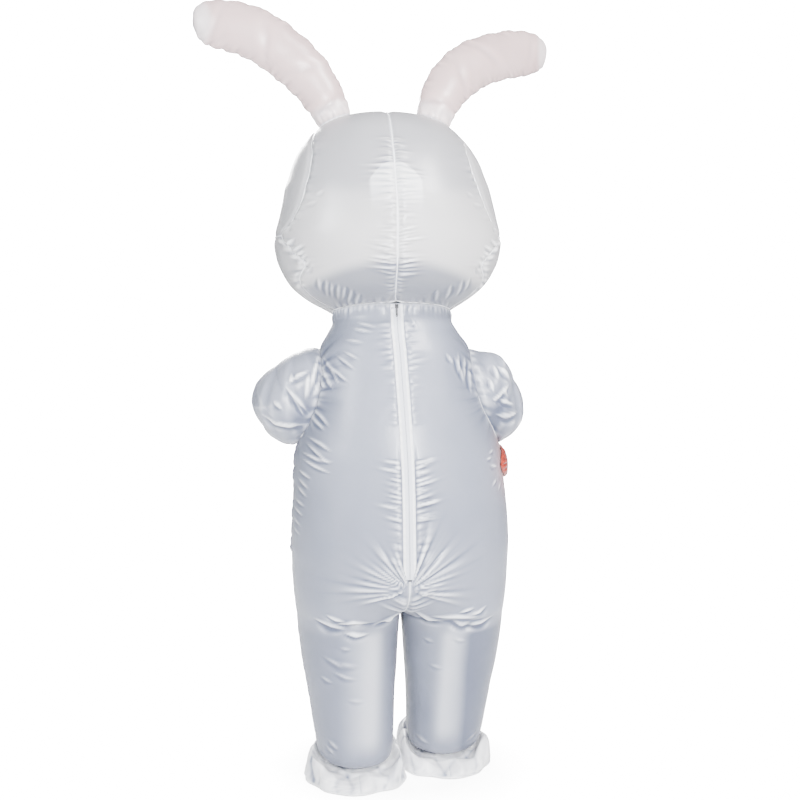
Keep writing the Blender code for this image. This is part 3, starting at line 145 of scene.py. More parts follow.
EAR_COLUMNS = ("ring", "x", "y", "z", "half_width", "half_depth")
EAR_LEFT_ROWS = (
    (0, 0.186, 0, 1.930, 0.050, 0.036),
    (1, 0.195, 0, 1.985, 0.052, 0.039),
    (2, 0.219, 0, 2.042, 0.061, 0.043),
    (3, 0.258, 0, 2.102, 0.069, 0.046),
    (4, 0.310, 0, 2.158, 0.074, 0.047),
    (5, 0.372, 0, 2.208, 0.076, 0.047),
    (6, 0.440, 0, 2.246, 0.076, 0.046),
    (7, 0.505, 0, 2.268, 0.075, 0.043),
    (8, 0.560, 0, 2.278, 0.070, 0.038),
    (9, 0.598, 0, 2.282, 0.057, 0.030),
    (10, 0.618, 0, 2.283, 0.036, 0.019),
    (11, 0.626, 0, 2.283, 0.004, 0.004),
)
EAR_RIGHT_ROWS = (
    (0, -0.092, 0, 1.930, 0.050, 0.036),
    (1, -0.099, 0, 1.985, 0.052, 0.039),
    (2, -0.117, -0.010, 2.042, 0.061, 0.043),
    (3, -0.146, -0.034, 2.098, 0.069, 0.046),
    (4, -0.188, -0.068, 2.147, 0.074, 0.047),
    (5, -0.242, -0.108, 2.189, 0.076, 0.047),
    (6, -0.306, -0.150, 2.221, 0.076, 0.046),
    (7, -0.370, -0.190, 2.243, 0.075, 0.043),
    (8, -0.424, -0.222, 2.256, 0.070, 0.038),
    (9, -0.461, -0.243, 2.261, 0.057, 0.030),
    (10, -0.481, -0.254, 2.263, 0.036, 0.019),
    (11, -0.488, -0.258, 2.263, 0.004, 0.004),
)

SHOE_COLUMNS = ("foot", "x", "y", "half_width", "heel", "toe")
SHOE_ROWS = (
    (LEFT, 0.140, 0.045, 0.150, 0.165, 0.270),
    (RIGHT, -0.142, -0.045, 0.140, 0.160, 0.275),
)
ANKLE_RADIUS = 0.058
SHOE_SQUARENESS = 0.85
SHOE_PROFILE_COLUMNS = ("v", "share", "heel_z", "toe_z", "side_z")
SHOE_PROFILE_ROWS = (
    (0, 0, 0.000, 0.000, 0.000),
    (0.12, 0.05, 0.014, 0.050, 0.060),
    (0.30, 0.20, 0.024, 0.086, 0.078),
    (0.48, 0.42, 0.029, 0.080, 0.048),
    (0.66, 0.68, 0.034, 0.036, 0.036),
    (0.80, 0.90, 0.038, 0.038, 0.038),
    (0.90, 1.00, 0.056, 0.056, 0.056),
    (1.00, 1.00, 0.120, 0.120, 0.120),
)

# Folds, in millimetres: half width, height, then the x and the height above
# the floor of each of two to four points
SEAT_FOLDS = (
    (10, 7.5, 275, 527, 226, 508, 179, 497),
    (9, 7, 217, 510, 162, 521, 100, 516),
    (8, 6, 188, 489, 150, 479, 109, 483),
    (8, 6, 9, 549, 38, 523, 100, 501),
    (7, 5, 241, 544, 209, 531, 179, 524),
    (7, 4.5, 68, 506, 33, 532),
    (9, 7, -18, 549, -65, 520, -110, 504),
    (9, 6, -62, 529, -142, 533, -220, 528),
    (9, 6.5, -125, 513, -163, 502, -199, 510),
    (9, 7, -169, 499, -223, 504, -265, 521),
    (6, 4, -148, 545, -199, 559),
    (7, 4.5, -178, 535, -211, 543, -238, 561),
)
LEG_FOLDS = (
    (10, 5, 252, 413, 196, 387, 137, 373),
    (8, 3.5, 211, 400, 131, 379),
    (8, 4, 222, 367, 181, 350, 137, 340),
    (7, 3.5, 255, 347, 214, 327),
    (8, 3, 178, 281, 119, 272),
    (9, 4.5, 232, 152, 197, 120),
    (8, 4, 238, 131, 209, 102),
    (7, 3, 201, 442, 160, 434),
    (7, 3, -54, 452, -90, 439),
    (8, 3.5, -138, 461, -180, 448),
    (9, 4.5, -43, 122, -85, 93),
    (9, 4.5, -194, 104, -237, 127),
    (8, 3, -72, 366, -120, 355),
)
SHOULDER_FOLDS = (
    (9, 7, 242, 1270, 225, 1230, 208, 1192),
    (9, 7, 222, 1270, 194, 1244, 165, 1218),
    (8, 4.5, 185, 1313, 133, 1284),
    (8, 5, 205, 1302, 174, 1278, 142, 1252),
    (9, 6.5, 234, 1293, 211, 1253, 194, 1212),
    (8, 6, 245, 1242, 231, 1195),
    (7, 3.5, 179, 1344, 119, 1336),
    (7, 3.5, 145, 1396, 78, 1378),
    (7, 3.5, 159, 1379, 90, 1364),
    (9, 6.5, -142, 1300, -160, 1256, -175, 1210),
    (9, 6, -175, 1291, -175, 1218),
    (9, 7.5, -201, 1268, -216, 1215, -225, 1168),
    (8, 5.5, -189, 1274, -193, 1175),
    (8, 4.5, -116, 1306, -142, 1268),
    (8, 4.5, -157, 1309, -154, 1233),
    (6, 3, -31, 1395, -14, 1384),
    (6, 3, -14, 1413, -37, 1372),
)
SIDE_FOLDS = (
    (9, 6, 269, 1143, 243, 1119, 220, 1086),
    (9, 6, 272, 1119, 234, 1077),
    (9, 6.5, 290, 1060, 249, 1042, 214, 1018),
    (8, 6, 296, 1045, 255, 1012, 220, 982),
    (9, 7, 308, 1013, 261, 998, 208, 991),
    (8, 6, 308, 995, 267, 977, 214, 958),
    (8, 6, 314, 960, 273, 935),
    (8, 5.5, 315, 936, 280, 903),
    (8, 5.5, 318, 912, 286, 879),
    (8, 5.5, 327, 871, 292, 852),
    (7, 5, 330, 847, 298, 822),
    (7, 4.5, 333, 817, 304, 789),
    (7, 4, 333, 787, 307, 763),
    (7, 4, -255, 1138, -240, 1126),
    (7, 4.5, -265, 1017, -246, 1006),
    (7, 5, -259, 996, -234, 991),
    (7, 5, -274, 933, -256, 909),
    (7, 4.5, -290, 920, -278, 890),
    (8, 5, -280, 963, -247, 975),
)
ARM_FOLDS = (
    (10, 8, 350, 1207, 315, 1165, 280, 1123),
    (9, 7, 347, 1213, 312, 1234, 276, 1249),
    (9, 7, 279, 1243, 285, 1204, 291, 1162),
    (9, 6.5, 249, 1296, 267, 1231, 285, 1165),
    (11, 9, 419, 1122, 378, 1094, 336, 1088, 286, 1090),
    (8, 6, 342, 1184, 315, 1148, 292, 1114),
    (8, 5.5, 383, 1163, 354, 1136),
    (8, 5.5, 329, 1246, 335, 1210),
    (10, 8, -331, 1209, -297, 1178, -270, 1148),
    (9, 6.5, -272, 1269, -281, 1245, -288, 1218),
    (9, 7, -287, 1263, -312, 1239, -334, 1215),
    (11, 9, -273, 1115, -316, 1111, -359, 1120),
    (9, 6.5, -285, 1163, -319, 1151, -350, 1139),
    (8, 6, -264, 1158, -297, 1178),
    (8, 5.5, -257, 1227, -270, 1182),
    (8, 5.5, -303, 1194, -322, 1169),
)
HEAD_MIDDLE_X = 0.038
HEAD_FOLDS = (
    (8, 8, 350, 1604, 334, 1622, 317, 1637),
    (8, 8, 331, 1592, 311, 1607, 292, 1617),
    (7, 6.5, 320, 1581, 290, 1600),
    (8, 7.5, 312, 1567, 298, 1579, 284, 1587),
    (7, 7, 302, 1551, 277, 1569),
    (8, 7, 294, 1529, 272, 1556),
    (7, 5.5, 345, 1660, 331, 1670),
    (7, 5, 348, 1676, 335, 1690),
    (7, 6, 367, 1617, 345, 1627),
    (9, 3, 297, 1724, 255, 1736),
    (9, 2.5, 269, 1750, 238, 1767),
)
NECK_FOLDS = (
    (8, 5.5, 233, 1520, 225, 1467),
    (7, 5, 219, 1512, 211, 1464),
    (8, 5.5, 200, 1506, 194, 1458),
    (7, 5, 180, 1501, 183, 1456),
    (7, 4.5, 160, 1492, 166, 1450),
    (7, 4, 137, 1481, 146, 1444),
    (8, 5, 256, 1526, 245, 1481),
)

# How far the tip of each ear's cloth settles from its solid
EAR_SETTLE = {LEFT: (-0.015, 0, -0.015), RIGHT: (-0.012, 0, -0.010)}


def smooth(x):
    x = np.clip(x, 0, 1)
    return x * x * (3 - 2 * x)


def bell(x):
    return np.exp(-x * x)


def uneven(index, seed):
    """A repeatable number between 0 and 1 for each index."""
    value = math.sin(index * 12.9898 + seed * 78.233) * 43758.5453
    return value - math.floor(value)


def unit(vectors):
    return vectors / (np.linalg.norm(vectors, axis=-1, keepdims=True) + 1e-12)


class Table:
    """A short table with named columns, read along its first column by a smooth curve."""

    def __init__(self, names, rows):
        data = np.array(rows, float)
        self.key = data[:, 0]
        self.columns = {name: data[:, i] for i, name in enumerate(names)}
        self.slopes = {name: self.slope(column) for name, column in self.columns.items()}

    def slope(self, column):
        rises = np.diff(column) / np.diff(self.key)
        slopes = np.zeros(len(column))
        slopes[0], slopes[-1] = rises[0], rises[-1]
        for i in range(1, len(column) - 1):
            before, after = rises[i - 1], rises[i]
            if before * after > 0:
                slopes[i] = 2 * before * after / (before + after)
        return slopes

    def at(self, name, place):
        place = np.asarray(place, float)
        column, slopes = self.columns[name], self.slopes[name]
        i = np.clip(np.searchsorted(self.key, place, side="right") - 1, 0, len(column) - 2)
        step = self.key[i + 1] - self.key[i]
        f = (place - self.key[i]) / step
        start = (1 + 2 * f) * (1 - f) ** 2 * column[i] + f * (1 - f) ** 2 * step * slopes[i]
        stop = f * f * (3 - 2 * f) * column[i + 1] + f * f * (f - 1) * step * slopes[i + 1]
        return start + stop


BODY = Table(BODY_COLUMNS, BODY_ROWS)
HEAD = Table(HEAD_COLUMNS, HEAD_ROWS)
SIDE_SEAM = Table(SIDE_SEAM_COLUMNS, SIDE_SEAM_ROWS)
SLEEVE = Table(SLEEVE_COLUMNS, SLEEVE_ROWS)
SHOE_PROFILE = Table(SHOE_PROFILE_COLUMNS, SHOE_PROFILE_ROWS)
SHOES = [dict(zip(SHOE_COLUMNS, row)) for row in SHOE_ROWS]
EARS = {LEFT: Table(EAR_COLUMNS, EAR_LEFT_ROWS), RIGHT: Table(EAR_COLUMNS, EAR_RIGHT_ROWS)}


def noise(points, size, seed):
    """Smooth noise from -1 to 1 in space, with lumps of about the given size."""
    cells = points / size
    base = np.floor(cells)
    part = smooth(cells - base)
    total = np.zeros(points.shape[:-1])
    for corner in range(8):
        step = np.array([corner & 1, corner >> 1 & 1, corner >> 2 & 1])
        place = base + step
        value = np.sin(place @ np.array([127.1, 311.7, 74.7]) + seed * 19.19) * 43758.5453
        value = value - np.floor(value)
        weight = np.prod(np.where(step == 1, part, 1 - part), axis=-1)
        total += value * weight
    return total * 2 - 1


# Outer surfaces, the same as the CAD solids'
def body_point(side, face, t, level):
    depth = BODY.at("back" if face == BACK else "front", level)
    half, gap, split = (BODY.at(name, level) for name in ("half_width", "gap", "split"))
    turn = t * math.pi / 2
    torso_x = half * np.maximum(np.cos(turn), 0) ** SQUARENESS
    torso_y = depth * np.maximum(np.sin(turn), 0) ** SQUARENESS
    radius = (half - gap) / 2
    leg_x = gap + radius * (1 + np.cos(2 * turn))
    leg_y = depth * np.maximum(np.sin(2 * turn), 0)
    x = (1 - split) * torso_x + split * leg_x
    y = (1 - split) * torso_y + split * leg_y
    side_z, seam_z = BODY.at("side_z", level), BODY.at("seam_z", level)
    z = side_z + (seam_z - side_z) * smooth(t)
    z = z + NECK_TILT * BODY.at("tilt", level) * face * y / depth
    return np.stack([
        side * x + BODY.at("lean", level), face * y + side * BODY.at("stride", level), z,
    ], axis=-1)


def body_normal(side, face, t, level):
    low, high = np.maximum(level - 0.02, 0), np.minimum(level + 0.02, BODY_END)
    down = unit(body_point(side, face, t, high) - body_point(side, face, t, low))
    before, after = np.maximum(t - 0.002, 0), np.minimum(t + 0.002, 1)
    across = body_point(side, face, after, level) - body_point(side, face, before, level)
    normal = unit(np.cross(down, across)) * side * face
    zero = np.zeros_like(t)
    edge = unit(np.stack([-side * down[..., 2], zero, side * down[..., 0]], axis=-1))
    normal = np.where((t <= 0)[..., None], edge, normal)
    centre = unit(np.stack([zero, -face * down[..., 2], face * down[..., 1]], axis=-1))
    inside = unit(np.stack([side * down[..., 2], zero, -side * down[..., 0]], axis=-1))
    fork = unit(np.stack([zero - side, zero, zero - 1.0], axis=-1))
    middle = np.where((level < CROTCH_LEVEL)[..., None], centre, inside)
    middle = np.where((np.abs(level - CROTCH_LEVEL) < 0.02)[..., None], fork, middle)
    return np.where((t >= 1)[..., None], middle, normal)


def head_point(side, turn, s):
    angle = np.radians(turn)
    sine, cosine = np.maximum(np.sin(angle), 0), np.cos(angle)
    depth = np.where(cosine > 0, HEAD.at("back", s), HEAD.at("front", s))
    signed = np.sign(cosine) * np.abs(cosine) ** SQUARENESS
    x = HEAD.at("half_width", s) * sine ** SQUARENESS
    z = HEAD.at("z", s) + NECK_TILT * HEAD.at("tilt", s) * signed
    return np.stack([side * x + HEAD.at("lean", s), depth * signed, z], axis=-1)


def head_normal(side, turn, s):
    down, up = np.maximum(s - 0.004, 0), np.minimum(s + 0.004, 0.9995)
    rise = head_point(side, turn, up) - head_point(side, turn, down)
    before, after = np.maximum(turn - 0.3, 0), np.minimum(turn + 0.3, 180)
    across = head_point(side, after, s) - head_point(side, before, s)
    normal = np.cross(rise, across) * side
    flat = (turn <= 0.01) | (turn >= 179.99)
    normal[..., 0] = np.where(flat, 0, normal[..., 0])
    normal = unit(normal)
    return np.where((s > 0.9995)[..., None], np.array([0, 0, 1.0]), normal)


def sleeve_centre(side, ring):
    tuck = SLEEVE.at("tuck", ring) if side == RIGHT else 0
    return np.stack([
        side * (SLEEVE.at("x", ring) - tuck - 0.012) + 0.012,
        SLEEVE.at("y", ring), SLEEVE.at("z", ring),
    ], axis=-1)


def sleeve_frame(side, ring):
    yaw = np.radians(SLEEVE.at("yaw", ring))
    zero = np.zeros_like(yaw)
    outward = np.stack([side * np.sin(yaw), np.cos(yaw), zero], axis=-1)
    along = np.stack([side * np.cos(yaw), -np.sin(yaw), zero], axis=-1)
    return outward, along


def sleeve_point(side, u, ring):
    slim = 1 - 0.07 * smooth(ring / 4) if side == RIGHT else 1
    outward, _ = sleeve_frame(side, ring)
    angle = 2 * math.pi * u
    width = SLEEVE.at("half_width", ring) * slim * np.sin(angle)
    height = -SLEEVE.at("half_height", ring) * np.cos(angle)
    up = np.array([0, 0, 1.0])
    return sleeve_centre(side, ring) + outward * width[..., None] + up * height[..., None]


def sleeve_normal(side, u, ring):
    low, high = np.maximum(ring - 0.05, 0), np.minimum(ring + 0.05, 12)
    along = sleeve_point(side, u, high) - sleeve_point(side, u, low)
    across = sleeve_point(side, u + 0.004, ring) - sleeve_point(side, u - 0.004, ring)
    return unit(np.cross(across, along)) * side


def ear_centre(side, ring):
    centre = np.stack([EARS[side].at(name, ring) for name in ("x", "y", "z")], axis=-1)
    return centre + smooth((ring - 3) / 8)[..., None] * np.array(EAR_SETTLE[side])


def ear_frame(side, ring):
    low, high = np.maximum(ring - 0.25, 0), np.minimum(ring + 0.25, 11)
    along = unit(ear_centre(side, high) - ear_centre(side, low))
    back = np.array([0, 1.0, 0])
    deep = unit(back - along * along[..., 1:2])
    return np.cross(deep, along), deep


def ear_scallop(ring):
    wave = 0.5 - 0.5 * np.cos(2 * math.pi * (ring - 1.5) * 10 / 9)
    return 1 - 0.045 * wave * ((ring > 1.5) & (ring < 10.5))


def ear_point(side, face, u, ring):
    wide, deep = ear_frame(side, ring)
    angle = math.pi * u
    width = EARS[side].at("half_width", ring) * np.cos(angle) * ear_scallop(ring)
    depth = EARS[side].at("half_depth", ring) * np.sin(angle)
    return ear_centre(side, ring) + wide * width[..., None] + deep * (depth * face)[..., None]


def ear_normal(side, face, u, ring):
    wide, deep = ear_frame(side, ring)
    low, high = np.maximum(ring - 0.05, 0), np.minimum(ring + 0.05, 11)
    along = ear_point(side, face, u, high) - ear_point(side, face, u, low)
    before, after = np.maximum(u - 0.004, 0), np.minimum(u + 0.004, 1)
    across = ear_point(side, face, after, ring) - ear_point(side, face, before, ring)
    normal = unit(np.cross(across, along)) * face
    edge = np.where((u <= 0)[..., None], wide, -wide)
    return np.where(((u <= 0) | (u >= 1))[..., None], edge, normal)


def shoe_outline(shoe, angle):
    sine, cosine = np.sin(angle), np.cos(angle)
    reach = np.where(sine > 0, shoe["heel"], shoe["toe"])
    wave = 1 + 0.035 * np.sin(5 * angle + shoe["foot"]) + 0.02 * np.sin(9 * angle)
    x = shoe["half_width"] * np.sign(cosine) * np.abs(cosine) ** SHOE_SQUARENESS
    y = reach * np.sign(sine) * np.abs(sine) ** SHOE_SQUARENESS
    return x * wave, y * wave


def shoe_point(shoe, u, v):
    angle = 2 * math.pi * u + math.pi / 2
    x, y = shoe_outline(shoe, angle)
    toe = np.maximum(-np.sin(angle), 0) ** 0.8
    share = SHOE_PROFILE.at("share", v)
    height = (1 - toe) * SHOE_PROFILE.at("heel_z", v) + toe * SHOE_PROFILE.at("toe_z", v)
    beside = np.abs(np.cos(angle)) ** 3
    height = height + beside * (SHOE_PROFILE.at("side_z", v) - height)
    crumple = 0.003 * np.sin(7 * angle + 2 * v) * np.sin(math.pi * v) ** 2
    return np.stack([
        shoe["x"] + x + (ANKLE_RADIUS * np.cos(angle) - x) * share,
        shoe["y"] + y + (ANKLE_RADIUS * np.sin(angle) - y) * share,
        SOLE_TOP + height + crumple,
    ], axis=-1)


def shoe_normal(shoe, u, v):
    low, high = np.maximum(v - 0.01, 0), np.minimum(v + 0.01, 1)
    along = shoe_point(shoe, u, high) - shoe_point(shoe, u, low)
    across = shoe_point(shoe, u + 0.004, v) - shoe_point(shoe, u - 0.004, v)
    return unit(np.cross(across, along))


# Cloth: all folds' height and width, the depth of the trough under a fold, and how strongly relief
# paints shade into troughs, light onto ridges and a white highlight along ridges, for each metre
# that a point stands proud
FOLD_SCALE = 1.2
FOLD_WIDTH = 0.72
FOLD_TROUGH = 0.8
RELIEF_SHADING = 260.0
RIDGE_HIGHLIGHT = 420.0
PLAIN_TONE = 0.80
SEAM_DIP_WIDTH = 0.012


class Cloth:
    """A grid of points on one piece of cloth, raised by a relief along its normals."""

    def __init__(self, points, normals):
        self.points, self.normals = points, normals
        self.x, self.y, self.z = (points[..., k] for k in range(3))
        # Per point: how white the cloth is at its seams, which also holds painted highlights; the
        # patch's painted reddish light; and a brightness that holds painted light and shade
        self.height, self.seam, self.glow = (np.zeros(points.shape[:2]) for _ in range(3))
        self.tone = np.full(points.shape[:2], PLAIN_TONE)
        across = np.linalg.norm(np.diff(points, axis=1), axis=2)
        along = np.linalg.norm(np.diff(points, axis=0), axis=2)
        self.first = np.pad(np.cumsum(across, axis=1), ((0, 0), (1, 0)))
        self.last = self.first[:, -1:] - self.first
        self.top = np.pad(np.cumsum(along, axis=0), ((1, 0), (0, 0)))
        self.bottom = self.top[-1:, :] - self.top
        rows, columns = points.shape[:2]
        self.keep = np.ones((rows - 1, columns - 1), bool)

    def drop(self, inside):
        """Leaves out the faces that have all four corners inside."""
        gone = inside[:-1, :-1] & inside[1:, :-1] & inside[:-1, 1:] & inside[1:, 1:]
        self.keep &= ~gone

    def bunched(self):
        """How far each point stands above the mean height round it, in metres."""
        mean = self.height.copy()
        for _ in range(10):
            wide = np.pad(mean, 1, mode="edge")
            mean = 0.5 * mean + 0.125 * (
                wide[:-2, 1:-1] + wide[2:, 1:-1] + wide[1:-1, :-2] + wide[1:-1, 2:])
        return self.height - mean

    def placed(self):
        return self.points + self.normals * self.height[..., None]

    def whiten(self, amount):
        self.seam = np.maximum(self.seam, amount)

    def seam_band(self, distance, width=0.0035):
        self.whiten(bell(distance / width))

    def dip(self, distance, depth, width=SEAM_DIP_WIDTH):
        """The furrow along a seam that draws the cloth in."""
        self.height -= depth * bell(distance / width)

    def soften(self, size=0.16, amount=0.0022, seed=1):
        """Slow swells and faint crinkles that a blown-up cloth has all over."""
        self.height += amount * noise(self.points, size, seed)
        self.height += 0.35 * amount * noise(self.points, size * 0.42, seed + 1)

    def gather_rows(self, along, across, rows, seed):
        for start, stop, count, length, height, extra, slant in rows:
            self.gathers(along, across, start, stop, count, length, height, seed + extra, slant)

    def gathers(self, along, across, start, stop, count, length, height, seed, slant=0.0,
                rise=0.26):
        """Lens-shaped puckers square to a seam, uneven in length, width and height."""
        pitch = (stop - start) / count
        for i in range(count):
            reach = length * (0.45 + 0.55 * uneven(i, seed))
            size = height * (0.55 + 0.45 * uneven(i, seed + 3))
            middle = start + pitch * (i + 0.5 + 0.30 * (uneven(i, seed + 5) - 0.5))
            turn = slant + 0.25 * (uneven(i, seed + 9) - 0.5)
            x = (along - middle - turn * across) / (pitch * (0.50 + 0.16 * uneven(i, seed + 7)))
            lens = np.clip(1 - x * x, 0, 1)
            near = across / (rise * reach)
            far = near * np.exp(1 - near)
            self.height += FOLD_SCALE * size * lens * far * smooth((reach * 1.6 - across) / reach)

    def fold(self, line, width, height, where, glint):
        """A lens-shaped ridge along a given line in x and z, with a trough under it."""
        place = self.points[..., [0, 2]]
        signed = np.full(self.height.shape, 9.0)
        share = np.zeros(self.height.shape)
        lengths = np.linalg.norm(np.diff(line, axis=0), axis=1)
        total, done = lengths.sum(), 0.0
        for start, stop, length in zip(line, line[1:], lengths):
            along = (stop - start) / length
            above = np.array([-along[1], along[0]])
            above = above if above[1] >= 0 else -above
            f = np.clip((place - start) @ along / length, 0, 1)
            offset = place - start - f[..., None] * (stop - start)
            distance = np.linalg.norm(offset, axis=-1) * np.where(offset @ above < 0, -1, 1)
            nearer = np.abs(distance) < np.abs(signed)
            signed = np.where(nearer, distance, signed)
            share = np.where(nearer, (done + f * length) / total, share)
            done += length
        lens = np.clip(np.sin(math.pi * share), 0, 1) ** 1.3
        wide = FOLD_WIDTH * width * (0.35 + 0.65 * lens)
        shape = bell(signed / wide) - FOLD_TROUGH * bell((signed / wide + 2.0) / 1.2)
        self.height += FOLD_SCALE * height * lens * shape * where
        # A painted glint: whiter cloth along the top of the ridge
        self.whiten(glint * lens * bell((signed - 0.2 * wide) / (0.9 * wide)) * where)

    def folds(self, rows, where=1.0, scale=1.0, mirror=None, glint=0.0, narrow=1.0):
        for width, height, *places in rows:
            line = np.array(places).reshape(-1, 2) / 1000
            if mirror is not None:
                line[:, 0] = 2 * mirror - line[:, 0]
            self.fold(line, width / 1000 * narrow, height / 1000 * scale, where, glint)


def spaced(count, dense):
    """Places from 0 to 1 that lie closer together at both ends."""
    x = np.linspace(0, 1, count)
    return x - dense * np.sin(2 * math.pi * x) / (2 * math.pi)


def even_rows(point, low, high, step):
    """Values between low and high whose points lie evenly along their line."""
    dense = np.linspace(low, high, 1500)
    line = point(dense)
    length = np.pad(np.cumsum(np.linalg.norm(np.diff(line, axis=0), axis=1)), (1, 0))
    count = int(length[-1] / step) + 1
    return np.interp(np.linspace(0, length[-1], count), length, dense)


def put(name, data, location=(0, 0, FLOOR)):
    made = bpy.data.objects.new(name, data)
    made.location = location
    bpy.context.scene.collection.objects.link(made)
    return made


def finish_piece(name, data, material, nodes=(), body="costume"):
    piece = put(name, data)
    data.materials.append(material)
    data.shade_smooth()
    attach(piece, body)
    if nodes:
        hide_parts(*nodes)
    return piece


def cloth_piece(name, cloth, material, nodes=()):
    """The mesh of one cloth, with its weave laid out in metres; prints the size of its cut."""
    rows, columns = cloth.height.shape
    bunched = cloth.bunched()
    # Painted shade in the troughs and painted light on the ridges, with a painted white highlight
    # along each ridge
    cloth.tone += np.clip(RELIEF_SHADING * bunched, -0.60, 0.35)
    cloth.whiten(np.clip(RIDGE_HIGHLIGHT * (bunched - 0.0004), 0, 0.9))
    points = cloth.placed().reshape(-1, 3)
    index = np.arange(rows * columns).reshape(rows, columns)
    quads = np.stack([index[:-1, :-1], index[:-1, 1:], index[1:, 1:], index[1:, :-1]], axis=-1)
    quads = quads[cloth.keep]
    normals = cloth.normals.reshape(-1, 3)
    a, b, c, d = (points[quads[:, k]] for k in range(4))
    facing = np.cross(c - a, d - b)
    if (facing * normals[quads[:, 0]]).sum() < 0:
        quads = quads[:, ::-1]
    area = 0.5 * np.linalg.norm(facing, axis=1).sum()
    data = bpy.data.meshes.new(name)
    data.from_pydata(points.tolist(), [], quads.tolist())
    layer = data.uv_layers.new(name="weave")
    flat = np.stack([cloth.first, cloth.top], axis=-1).reshape(-1, 2)
    layer.data.foreach_set("uv", flat[quads.ravel()].astype(np.float32).ravel())
    for label in ("seam", "glow", "tone"):
        values = getattr(cloth, label).reshape(-1).astype(np.float32)
        data.attributes.new(label, "FLOAT", "POINT").data.foreach_set("value", values)
    piece = finish_piece(name, data, material, nodes)
    width, length = float(cloth.first.max()), float(cloth.top.max())
    size = area / (width * length)
    if size > 1:
        length *= size
    if size < 0.31:
        length = area / (0.31 * width)
    print(f"cut {name}: {width:.3f} x {length:.3f} m, area {area:.3f}")


def tube_mesh(name, lines, normals, radius, sides=6):
    """One mesh of round tubes along several lines of points."""
    verts, faces = [], []
    for line, up in zip(lines, normals):
        side = unit(np.cross(unit(np.gradient(line, axis=0)), up))
        up = np.cross(side, unit(np.gradient(line, axis=0)))
        start, count = len(verts), len(line)
        for k in range(sides):
            angle = 2 * math.pi * k / sides
            verts.extend((line + radius * (side * math.cos(angle) + up * math.sin(angle))).tolist())
            n = (k + 1) % sides
            for i in range(count - 1):
                faces.append((
                    start + k * count + i, start + n * count + i,
                    start + n * count + i + 1, start + k * count + i + 1,
                ))
    data = bpy.data.meshes.new(name)
    data.from_pydata(verts, [], faces)
    return data


# Materials
def nodes_of(name):
    material = bpy.data.materials.new(name)
    material.use_nodes = True
    tree = material.node_tree
    return material, tree, tree.nodes["Principled BSDF"]


def feed(tree, socket, value):
    """Links another node's output to a socket, or sets the socket's own value."""
    if hasattr(value, "is_output"):
        tree.links.new(value, socket)
    elif socket.type == "RGBA":
        socket.default_value = (*value, 1)
    else:
        socket.default_value = value


def node(tree, kind, **values):
    made = tree.nodes.new(kind)
    for key, value in values.items():
        if key in made.inputs:
            feed(tree, made.inputs[key], value)
        else:
            setattr(made, key, value)
    return made


def dress(tree, shader, **values):
    """Feeds the shader's sockets, with _ for each space in their names."""
    for key, value in values.items():
        feed(tree, shader.inputs[key.replace("_", " ")], value)


def ramp(tree, source, first, last, kind="LINEAR"):
    made = node(tree, "ShaderNodeValToRGB", Fac=source)
    made.color_ramp.interpolation = kind
    for element, (place, colour) in zip(made.color_ramp.elements, (first, last)):
        element.position = place
        element.color = (*colour, 1)
    return made.outputs["Color"]


def grey(value):
    return (value, value, value)


def mix(tree, amount, first, second, kind="MIX"):
    made = node(tree, "ShaderNodeMix", data_type="RGBA", blend_type=kind)
    for index, value in ((0, amount), (6, first), (7, second)):
        feed(tree, made.inputs[index], value)
    return made.outputs[2]


def times(tree, first, second):
    made = node(tree, "ShaderNodeMath", operation="MULTIPLY")
    feed(tree, made.inputs[0], first)
    feed(tree, made.inputs[1], second)
    return made.outputs[0]


def painted(tree, name):
    return node(tree, "ShaderNodeAttribute", attribute_name=name).outputs["Fac"]


PATCH_LIGHT = (1.0, 0.25, 0.08)
SHADED = (0.22, 0.25, 0.34)
WEAVE_SCALE = 520.0
CRINKLE_SCALE = 42.0


def taffeta(name, light, dark, seam=(0.98, 0.98, 0.99), rough=0.36, weave=0.04, crinkle=0.12):
    """Thin, glossy, crisp cloth: uneven colour, brighter doubled cloth at the seams and painted
    highlights, painted light and shade, a fine plain weave and small crinkles."""
    material, tree, shader = nodes_of(name)
    place = node(tree, "ShaderNodeTexCoord").outputs
    broad = node(tree, "ShaderNodeTexNoise", Vector=place["Object"], Scale=7.0, Detail=1.0,
                 Roughness=0.5)
    colour = ramp(tree, broad.outputs["Fac"], (0.15, dark), (0.85, light), "EASE")
    colour = mix(tree, painted(tree, "seam"), colour, seam)
    shade = ramp(tree, painted(tree, "tone"), (0, SHADED), (1, (1, 1, 1)))
    colour = mix(tree, 1.0, colour, shade, "MULTIPLY")
    colour = mix(tree, painted(tree, "glow"), colour, PATCH_LIGHT)
    cross = times(tree, *(
        node(tree, "ShaderNodeTexWave", bands_direction=direction, Vector=place["UV"],
             Scale=WEAVE_SCALE, Distortion=0.4).outputs["Fac"]
        for direction in ("X", "Y")
    ))
    colour = mix(tree, times(tree, cross, 0.05), colour, (1, 1, 1))
    folds = node(tree, "ShaderNodeTexNoise", Vector=place["Object"], Scale=CRINKLE_SCALE,
                 Detail=3.0, Roughness=0.5, Distortion=0.3)
    low = node(tree, "ShaderNodeBump", Strength=crinkle, Distance=0.0035,
               Height=folds.outputs["Fac"])
    high = node(tree, "ShaderNodeBump", Strength=weave, Distance=0.0002, Height=cross,
                Normal=low.outputs["Normal"])
    dress(tree, shader, Base_Color=colour, Roughness=rough, Normal=high.outputs["Normal"],
          Specular_IOR_Level=0.62, Sheen_Weight=0.12, Sheen_Roughness=0.4)
    material.diffuse_color = (*light, 1)
    return material


